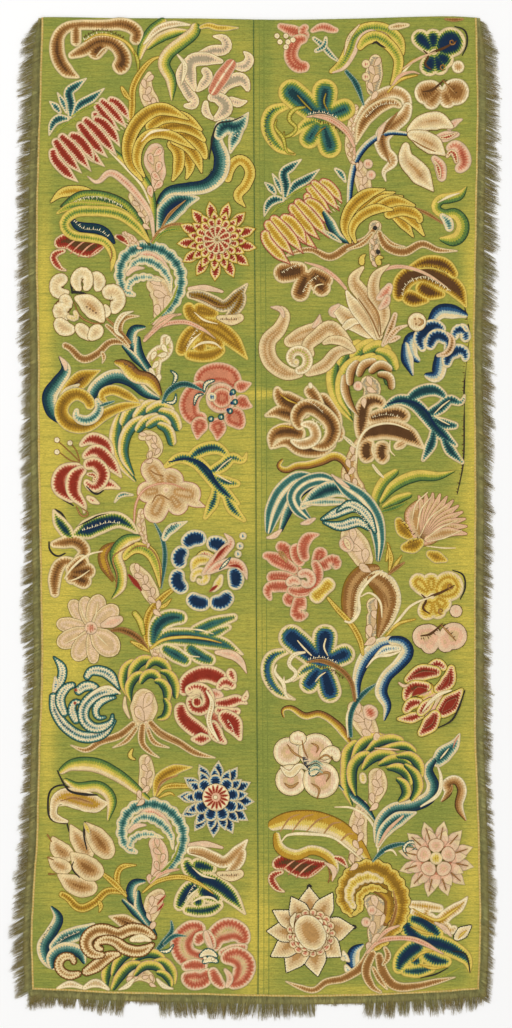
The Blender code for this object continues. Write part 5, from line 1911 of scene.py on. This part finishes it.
def left_trunk():
    """The pale knobbly trunks of the left width, from knot to knot."""
    knots("left", """
trunk: 150,71 146,88 151,102 161,113 / 2 7 9 4
pink_petal: 158,143 154,160 158,174 153,192 / 7 11 8 1.5
trunk: 130,192 138,204 148,226 / 4 8 1.5
pink_petal: 122,232 132,240 140,247 / 2 5 2
trunk: 146,284 156,286 163,300 156,320 / 8 12 10 3
cream_gold: 164,334 166,348 154,360 158,386 / 4 9 8 1.5
trunk: 138,438 148,436 156,448 148,460 / 3 7.4 7.6 4
trunk: 141,508 141,526 147,546 / 3 5.4 1.5
trunk: 131,564 141,576 151,593 159,612 / 4 9 8.4 2
trunk: 150,646 158,655 166,664 / 3 6 2
trunk: 143,688 144,706 141,728 / 8 15 7
trunk: 144,754 147,776 139,802 / 6 8.6 3
pink_petal: 151,838 158,848 160,862 151,880 / 6 9 7.4 1.5
trunk: 164,890 156,898 152,908 150,926 / 4 9.6 8.6 1
trunk: 128,984 133,977 140,974 148,977 154,984 / 3 6 7 6 3
""")
    work("""
trunk_left_spots 125,574 8
seed_red: 3,0 9,7 17,17 / 1 3 .8
32,331 37,325 41,321 / .6 1.4 .6
32,337 36,333 39,329
red_petal: 0,122 0,133 5,145 / 1 2.6 1

trunk_left_roots 70,720 3
root: 66,2 50,15 30,22 16,30 0,25 / 3.4 4.2 3.8 3.2 .8
68,6 56,21 42,28 / 2.4 3 .8
73,2 72,22 80,32 90,38 / 3.4 4 3 .8
78,0 90,13 108,22 126,33 146,38 / 3.4 4.6 4 3.6 .8
77,8 84,22 100,28 / 2.4 3 .8
stem_brown: 82,6 96,18 114,27 / .6 1.2 .5
yellow_leaf: 63,28 60,36 66,40 / 1 2.6 1
""")


def right_trunk():
    """The pale knobbly trunks of the right width, from knot to knot."""
    knots("right", """
grey_trunk: 376,54 374,74 372,96 / 5 9.6 5
trunk: 356,104 352,126 350,150 356,166 / 3 5 5.4 4
trunk: 356,160 362,178 366,196 / 5 8.6 7
grey_trunk: 376,220 374,240 376,264 / 7 5.4 6
grey_trunk: 362,378 372,388 366,404 / 6 9.6 5
trunk_dark: 360,438 352,458 350,478 362,494 / 3 6 9 8
trunk: 344,528 356,544 368,568 / 9 12.6 8
grey_trunk: 370,598 378,614 368,640 / 7 12 3
trunk: 350,702 364,722 374,740 / 5 12 8
trunk: 374,768 378,784 372,806 / 8 10 4
trunk: 364,800 358,824 358,846 352,866 / 5 9.6 9 5
grey_trunk: 366,896 380,914 374,932 373,948 / 6 12 8 3
""")
    work("""
trunk_right_spots 341,64 8
red_petal spots: 25,0 25,13 / 4.4
rose_petal spots: 27,100 30,111 17,322 31,846 25,858 / 5
rose_petal: 0,474 6,481 9,488 / 6 7.4 5
red_petal: 3,474 7,481 9,486 / 1.5 3.4 1.5
rose_petal: 23,642 29,648 33,656 / 4 8 6
trefoil: 21,708 23,720 / 3 4 3
outline_ink spots: 34,164 37,188 / 2.2

trunk_right_roots 280,226 3
root: 96,0 86,14 68,21 50,31 32,24 16,26 0,33 / 3 4.4 4.4 4.4 3.4 2.6 .6
94,6 82,18 66,24 / 2 3 1
98,4 106,20 124,26 142,18 158,24 178,25 / 3 4.4 4.6 4 3 .8
102,8 112,18 126,21 / 1.5 2.6 .8
92,722 82,740 64,752 46,756 34,764 20,761 5,755 / 4 5.4 4.4 4 3.6 3 .8
94,724 86,744 92,760 102,767 / 4 5 4.4 1.5
98,726 104,748 116,760 136,760 158,755 176,751 / 4 5.4 5 4 3.4 .6
104,720 108,730 102,740 / 2 3.6 1.5
92,740 100,754 108,764 / 2 3.4 1
""")


TRUNKS = (left_trunk, right_trunk)
LEAVES_LEFT = (upper_left_leaves, lower_left_leaves)
LEAVES_RIGHT = (upper_right_leaves, lower_right_leaves)
FLOWERS_LEFT = (upper_left_flowers, lower_left_flowers)
FLOWERS_RIGHT = (upper_right_flowers, lower_right_flowers)


# Fringe
def strand_mesh(name, count):
    """Many copies of one thin strand, made by an array, side by side."""
    strand = bmesh.new()
    bmesh.ops.create_cone(
        strand, cap_ends=True, cap_tris=True, segments=3, radius1=0.5, radius2=0.14, depth=1.0
    )
    for height in (-0.17, 0.17):
        geometry = strand.verts[:] + strand.edges[:] + strand.faces[:]
        bmesh.ops.bisect_plane(strand, geom=geometry, dist=1e-5, plane_co=(0, 0, height), plane_no=(0, 0, 1))
    mesh = bpy.data.meshes.new(name)
    strand.to_mesh(mesh)
    strand.free()
    maker = bpy.data.objects.new(name + "_maker", mesh)
    bpy.context.scene.collection.objects.link(maker)
    array = maker.modifiers.new("copies", "ARRAY")
    array.count = count
    array.use_relative_offset = False
    array.use_constant_offset = True
    array.constant_offset_displace = (STRAND_GAP, 0, 0)
    bpy.context.view_layer.update()
    made = bpy.data.meshes.new_from_object(maker.evaluated_get(bpy.context.evaluated_depsgraph_get()))
    bpy.data.objects.remove(maker)
    made.name = name
    flat = np.empty(len(made.vertices) * 3)
    made.vertices.foreach_get("co", flat)
    local = flat.reshape(-1, 3)
    index = np.rint(local[:, 0] / STRAND_GAP).astype(int)
    return made, index, local[:, 0] - index * STRAND_GAP, local[:, 1], local[:, 2] + 0.5


def fringe_strands(name, node, count, line, reaches, leans, seed):
    """Cut wool strands in tufts along one edge, with ragged tips that draw together."""
    draw = np.random.default_rng(seed)
    mesh, index, cross, tall, going = strand_mesh(name, count)
    share = (np.arange(count) + draw.uniform(0, 1, count)) / count
    x, y, heading_x, heading_y = line(share)
    span = np.hypot(np.diff(x[np.argsort(share)]), np.diff(y[np.argsort(share)])).sum()
    tufts = int(span / sizes().tuft_pitch)
    edges = np.sort(draw.uniform(0, 1, tufts - 1))
    tuft = np.searchsorted(edges, share)
    middles = np.array([share[tuft == one].mean() if (tuft == one).any() else 0.0 for one in range(tufts)])
    tuft_reach = draw.uniform(0.84, 1.05, tufts)
    tuft_reach -= (draw.uniform(0, 1, tufts) > 0.9) * draw.uniform(0.05, 0.18, tufts)
    tuft_lean = draw.normal(0, 0.07, tufts)
    tuft_tint = draw.normal(0, 0.05, tufts)
    reach = reaches(share) * tuft_reach[tuft] * draw.uniform(0.70, 1.06, count)
    lean = leans(share) + tuft_lean[tuft] + draw.normal(0, 0.05, count)
    gather = (middles[tuft] - share) * span * TIP_GATHER
    level = draw.uniform(0.0, 1.0, count)
    bend = draw.normal(0, 0.0022, count)
    side_x, side_y = -heading_y, heading_x
    length = reach[index]
    drift = lean[index] * length * going + gather[index] * going ** 1.6
    drift = drift + bend[index] * np.sin(np.pi * going)
    width = sizes().strand_width
    place_along = length * going
    px = x[index] + heading_x[index] * place_along + side_x[index] * (drift + cross * width)
    py = y[index] + heading_y[index] * place_along + side_y[index] * (drift + cross * width)
    crown = 0.0008 + level[index] * 0.0030 * (1 - 0.55 * going)
    pz = np.maximum(crown + tall * width * 0.8, 0.0001)
    set_points(mesh, px, py, pz)
    store(mesh, "out", going)
    wisps = (draw.uniform(0, 1, count) > 0.90) * 0.34 - (draw.uniform(0, 1, count) > 0.85) * 0.22
    store(mesh, "tint", (tuft_tint[tuft] + wisps + draw.normal(0, 0.08, count))[index])
    mesh.materials.append(bpy.data.materials.get("cut_wool_fringe") or fringe_material())
    obj = placed_object(name, mesh)
    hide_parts(node)
    return obj


def row_reader(pairs):
    """A smooth reading of a short table of chart place and value."""
    places, values = np.array(pairs, float).T
    return lambda at: np.interp(at, places, values)


# How far the fringe reaches out from the cloth, in metres, by distance down or across, and how it leans
LEFT_REACH = row_reader((
    (0, 0.018), (0.024, 0.042), (0.06, 0.053), (0.21, 0.048), (0.43, 0.045), (0.65, 0.048), (0.86, 0.042),
    (1.01, 0.043), (1.20, 0.040), (1.40, 0.047), (1.56, 0.039), (1.74, 0.038), (1.90, 0.046), (2.07, 0.050),
    (2.27, 0.044),
))
RIGHT_REACH = row_reader((
    (0, 0.024), (0.024, 0.044), (0.06, 0.051), (0.21, 0.050), (0.65, 0.050), (0.86, 0.045), (1.01, 0.040),
    (1.20, 0.041), (1.40, 0.036), (1.56, 0.039), (1.74, 0.034), (2.07, 0.036), (2.27, 0.026),
))
BOTTOM_REACH = row_reader((
    (-0.52, 0.048), (-0.45, 0.041), (-0.33, 0.051), (-0.30, 0.053), (-0.295, 0.027), (-0.221, 0.027),
    (-0.216, 0.053), (-0.14, 0.054), (0.03, 0.053), (0.13, 0.055), (0.137, 0.022), (0.250, 0.022),
    (0.255, 0.054), (0.31, 0.054), (0.44, 0.052), (0.52, 0.042),
))
SIDE_LEAN = row_reader((
    (0, 0.50), (0.21, 0.42), (0.65, 0.50), (1.01, 0.62), (1.40, 0.46), (1.90, 0.52), (2.25, 0.60),
))
FRINGE_TURN = 0.016
FRINGE_TUCK = 0.0025
# Room between the strands of the array, and the share of its way to a tuft's middle that a tip goes
STRAND_GAP = 3.0
TIP_GATHER = 0.14


def fringe_side(name, sign, edge, reach, seed):
    """One long side's fringe and the narrow backing that it hangs from."""
    low = RIGHT_LOW.y + 0.02 - FRINGE_TURN

    def line(share):
        y = TOP_Y - 0.002 + (low - TOP_Y) * share
        x = edge(y) - sign * FRINGE_TUCK
        return x, y, np.full_like(y, float(sign)), np.zeros_like(y)

    reaches = lambda share: reach((TOP_Y - low) * share) + FRINGE_TUCK
    leans = lambda share: -sign * SIDE_LEAN((TOP_Y - low) * share)
    node = name.replace("strands", "fringe")
    return fringe_strands(name, node, sizes().side_strands, line, reaches, leans, seed)


def fringe_foot(name, seed):
    """The bottom fringe, which fills both corners."""
    near = LEFT_LOW.x - 0.004
    far = RIGHT_HIGH.x + 0.004

    def line(share):
        x = near + (far - near) * share
        y = bottom_edge(x) + FRINGE_TUCK
        return x, y, np.zeros_like(x), np.full_like(x, -1.0)

    reaches = lambda share: BOTTOM_REACH(near + (far - near) * share - MIDDLE_X) + FRINGE_TUCK
    leans = lambda share: 0.10 * np.sin(share * 23.0)
    return fringe_strands(name, "fringe_bottom", sizes().foot_strands, line, reaches, leans, seed)


def backing(name, line, wide):
    """The woven heading under a fringe's strands."""
    mesh, across, along = grid_mesh(name, 4, 260)
    x, y, heading_x, heading_y = line(along)
    out = 0.0006 + across * wide(along)
    set_points(mesh, x + heading_x * out, y + heading_y * out, 0.0012 + 0.0012 * np.sin(np.pi * across))
    store(mesh, "out", across * 0.4)
    store(mesh, "tint", 0.04 - 0.10 * np.abs(np.sin(along * 610.0)))
    mesh.materials.append(bpy.data.materials.get("cut_wool_fringe") or fringe_material())
    face_up(mesh)
    obj = placed_object(name, mesh)
    solid_sheet(obj, 0.0008)
    return obj


# Settings
def setting(kind, label, note, **more):
    """One user setting."""
    return getattr(bpy.props, kind + "Property")(name=label, description=note, **more)


def length(label, note, default):
    """One user setting that is a length in metres."""
    return setting("Float", label, note, default=default, unit="LENGTH")


class PanelSizes(bpy.types.PropertyGroup):
    """Sizes of the panel's looks"""

    ripple: length("Ripple", "How far the laid cloth rises off the floor", 0.0007)
    tuft_pitch: length("Tuft pitch", "Room that one tuft of fringe takes", 0.0095)
    strand_width: length("Strand width", "Thickness of a fringe strand", 0.0013)
    side_strands: setting("Int", "Side strands", "Fringe strands on each long side", default=5900, min=200)
    foot_strands: setting("Int", "Bottom strands", "Fringe strands on the bottom edge", default=3000, min=200)
    floor_size: length("Floor", "Width of the floor", 14.0)
    camera_height: length("Camera height", "Height of the camera over the cloth", 6.0)
    soft_light: setting("Float", "Soft light", "Strength of the light from all round", default=0.90, min=0.0)
    window_light: setting("Float", "Window light", "Power of the large lamp", default=26.0, unit="POWER")


class PanelWools(bpy.types.PropertyGroup):
    """Colours of the dyed wools"""

    __annotations__ = {
        key: setting(
            "FloatVector",
            key.replace("_", " ").capitalize(),
            "Colour of the " + note,
            default=linear(hex_colour),
            subtype="COLOR",
            size=3,
            min=0.0,
            max=1.0,
        )
        for key, (hex_colour, note) in WOOLS.items()
    }


# Operators
class MakeWidths(bpy.types.Operator):
    """Lay the two worked widths, their seam and the faint weaving lines beside it"""

    bl_idname = "panel.make_widths"
    bl_label = "Worked widths"

    def execute(self, context):
        left = cloth_width("width_left", left_edge, left_seam)
        right = cloth_width("width_right", right_seam, right_edge)
        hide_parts("needlework_left")
        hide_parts("needlework_right")
        seam_lines()
        return {"FINISHED"}


def seam_lines():
    """The seam's dark stitching and the paler and darker warp lines of the selvedge."""
    dark = line_material("seam_thread_green", "ground_dark", "moss", 0.004)
    pale = line_material("selvedge_thread", "ground_green", "ground_dark", 0.004)
    for name, shift, half, material, wander in (
        ("seam_stitching", -0.3, 0.55, dark, 0.25),
        ("selvedge_line", 10.2, 0.40, pale, 0.5),
        ("selvedge_line_far", 5.4, 0.30, pale, 0.3),
    ):
        mesh, across, up = grid_mesh(name, 4, 420)
        rough_y = RIGHT_LOW.y + 0.03 + (TOP_Y - RIGHT_LOW.y - 0.034) * up
        x = right_seam(rough_y) + SQUARE * (shift + wander * np.sin(rough_y * 5.0) + (across * 2 - 1) * half)
        low = bottom_edge(x) + 0.001
        y = low + (top_edge(x) - 0.001 - low) * up
        crown = 0.0003 * (1 - (across * 2 - 1) ** 2)
        set_points(mesh, x, y, ground_height(x, y) + crown)
        store(mesh, "run", y)
        mesh.materials.append(material)
        face_up(mesh)
        placed_object(name, mesh).name


class MakeBraids(bpy.types.Operator):
    """Sew the pale yellow braid along the long edges and the bottom edge"""

    bl_idname = "panel.make_braids"
    bl_label = "Edging braid"

    def execute(self, context):
        material = line_material("pale_wool_braid", "cord", "gold", 0.0035)
        for node, edge, sign in (("braid_left", left_edge, 1), ("braid_right", right_edge, -1)):
            low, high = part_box(node)
            mesh, across, up = grid_mesh(node.replace("braid", "cord"), 6, 420)
            y = low.y + (high.y - low.y) * up
            x = edge(y) + sign * (BRAID_INSET + BRAID_WIDTH * across) + braid_wander(y)
            finish_braid(mesh, x, y, across, y, material, node)
        low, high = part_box("braid_bottom")
        mesh, across, along = grid_mesh("cord_bottom", 6, 200)
        x = low.x + (high.x - low.x) * along
        y = bottom_edge(x) + BRAID_INSET + BRAID_WIDTH * across + braid_wander(x)
        finish_braid(mesh, x, y, across, x, material, "braid_bottom")
        return {"FINISHED"}


BRAID_INSET = 0.0006
BRAID_WIDTH = 0.0050


def braid_wander(run):
    """Small unevenness of a braid sewn by hand."""
    return 0.0003 * np.sin(run * 41.0) + 0.0002 * np.sin(run * 97.0)


def finish_braid(mesh, x, y, across, run, material, node):
    """Round a braid's face, keep its run and put it in its node's place."""
    side = across * 2 - 1
    face = np.sqrt(np.clip(1 - side ** 4, 0, 1))
    set_points(mesh, x, y, ground_height(x, y) - 0.0003 + 0.0017 * face)
    store(mesh, "run", run + 0.0022 * np.abs(side))
    mesh.materials.append(material)
    face_up(mesh)
    obj = placed_object(mesh.name, mesh)
    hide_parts(node)


class MakeFringes(bpy.types.Operator):
    """Hang the cut wool fringe on both long sides and the bottom"""

    bl_idname = "panel.make_fringes"
    bl_label = "Wool fringe"

    def execute(self, context):
        fringe_side("strands_left", -1, left_edge, LEFT_REACH, 11)
        fringe_side("strands_right", 1, right_edge, RIGHT_REACH, 12)
        fringe_foot("strands_bottom", 13)
        fringe_backings()
        return {"FINISHED"}


def fringe_backings():
    """The woven headings that the strands hang from."""
    low = RIGHT_LOW.y
    for name, sign, edge in (("heading_left", -1, left_edge), ("heading_right", 1, right_edge)):
        backing(
            name,
            lambda share: (edge(TOP_Y + (low - TOP_Y) * share), TOP_Y + (low - TOP_Y) * share, sign, 0.0),
            lambda share: 0.016 * np.clip(0.35 + 20 * share, 0, 1),
        )
    near = LEFT_LOW.x
    far = RIGHT_HIGH.x
    backing(
        "heading_bottom",
        lambda share: (near + (far - near) * share, bottom_edge(near + (far - near) * share), 0.0, -1),
        lambda share: 0.016 + 0 * share,
    )


def motif_operator(name, label, note, makers):
    """An operator class that works one group of motifs."""

    def execute(self, context):
        for maker in makers:
            maker()
        return {"FINISHED"}

    idname = "panel." + label.lower().replace(" ", "_")
    content = {"__doc__": note, "bl_idname": idname, "bl_label": label, "execute": execute}
    return type(name, (bpy.types.Operator,), content)


class DeclareCloth(bpy.types.Operator):
    """Say which pieces are sheets of cloth, how big each was cut, and what is worked on it"""

    bl_idname = "panel.declare_cloth"
    bl_label = "Cloth facts"

    def execute(self, context):
        return {"FINISHED"}


class MakeStage(bpy.types.Operator):
    """Set the pale floor, the soft studio light and the camera straight above the panel"""

    bl_idname = "panel.make_stage"
    bl_label = "Studio"

    def execute(self, context):
        scene = context.scene
        scene.view_settings.view_transform = "Standard"
        grid = bmesh.new()
        bmesh.ops.create_grid(grid, x_segments=2, y_segments=2, size=sizes().floor_size / 2)
        bmesh.ops.translate(grid, verts=grid.verts, vec=(0, 0, -0.0005))
        mesh = bpy.data.meshes.new("floor")
        grid.to_mesh(mesh)
        grid.free()
        floor = bpy.data.objects.new("floor", mesh)
        scene.collection.objects.link(floor)
        paper = bpy.data.materials.new("white_paper")
        paper.use_nodes = True
        shader = paper.node_tree.nodes["Principled BSDF"]
        shader.inputs["Base Color"].default_value = (1.0, 1.0, 1.0, 1)
        shader.inputs["Roughness"].default_value = 1.0
        shader.inputs["Specular IOR Level"].default_value = 0.0
        floor.data.materials.append(paper)
        world = bpy.data.worlds.new("studio")
        world.use_nodes = True
        world.node_tree.nodes["Background"].inputs[0].default_value = (1.0, 0.995, 0.985, 1)
        world.node_tree.nodes["Background"].inputs[1].default_value = sizes().soft_light
        scene.world = world
        lamp = bpy.data.lights.new("window", "AREA")
        lamp.shape = "RECTANGLE"
        lamp.size = 3.0
        lamp.size_y = 3.0
        lamp.energy = sizes().window_light
        window = bpy.data.objects.new("window", lamp)
        window.location = (-2.6, 2.2, 3.4)
        window.rotation_euler = (Vector((0, 0, 0)) - window.location).to_track_quat("-Z", "Y").to_euler()
        scene.collection.objects.link(window)
        data = bpy.data.cameras.new("camera")
        height = sizes().camera_height
        reach = CHART_ROWS * SQUARE / 2
        data.lens = data.sensor_width / 2 * height / reach
        data.clip_end = 100.0
        camera = bpy.data.objects.new("camera", data)
        middle_row = CHART_ROWS / 2
        camera.location = (MIDDLE_X, float(place_y(middle_row)), CLOTH_TOP + height)
        scene.collection.objects.link(camera)
        scene.camera = camera
        return {"FINISHED"}


MOTIF_OPERATORS = tuple(
    motif_operator(name, label, note, makers)
    for name, label, note, makers in (
        ("MakeTrunks", "Trunks", "Work the pale trunks, their knots and their roots", TRUNKS),
        ("MakeLeavesLeft", "Leaves left", "Work the leaves and scrolls of the left width", LEAVES_LEFT),
        ("MakeLeavesRight", "Leaves right", "Work the leaves and scrolls of the right width", LEAVES_RIGHT),
        ("MakeFlowersLeft", "Flowers left", "Work the flowers and buds of the left width", FLOWERS_LEFT),
        ("MakeFlowersRight", "Flowers right", "Work the flowers and buds of the right width", FLOWERS_RIGHT),
    )
)


class NeedleworkSidebar(bpy.types.Panel):
    """Lists the settings and the pieces"""

    bl_idname = "VIEW3D_PT_needlework"
    bl_label = "Needlework panel"
    bl_space_type = "VIEW_3D"
    bl_region_type = "UI"
    bl_category = "Needlework"

    def draw(self, context):
        for settings in (context.scene.panel_sizes, context.scene.panel_wools):
            for key in settings.__annotations__:
                self.layout.prop(settings, key)
        for operator in STEPS:
            self.layout.operator(operator.bl_idname)


STEPS = (MakeWidths, MakeBraids, MakeFringes, *MOTIF_OPERATORS, DeclareCloth, MakeStage)


def register():
    for item in (PanelSizes, PanelWools, *STEPS, NeedleworkSidebar):
        bpy.utils.register_class(item)
    bpy.types.Scene.panel_sizes = bpy.props.PointerProperty(type=PanelSizes)
    bpy.types.Scene.panel_wools = bpy.props.PointerProperty(type=PanelWools)


def unregister():
    del bpy.types.Scene.panel_wools
    del bpy.types.Scene.panel_sizes
    for item in reversed((PanelSizes, PanelWools, *STEPS, NeedleworkSidebar)):
        bpy.utils.unregister_class(item)


def main():
    """Make every piece in order and write both boxes."""
    register()
    for operator in STEPS:
        group, name = operator.bl_idname.split(".")
        getattr(getattr(bpy.ops, group), name)()


if __name__ == "__main__":
    main()
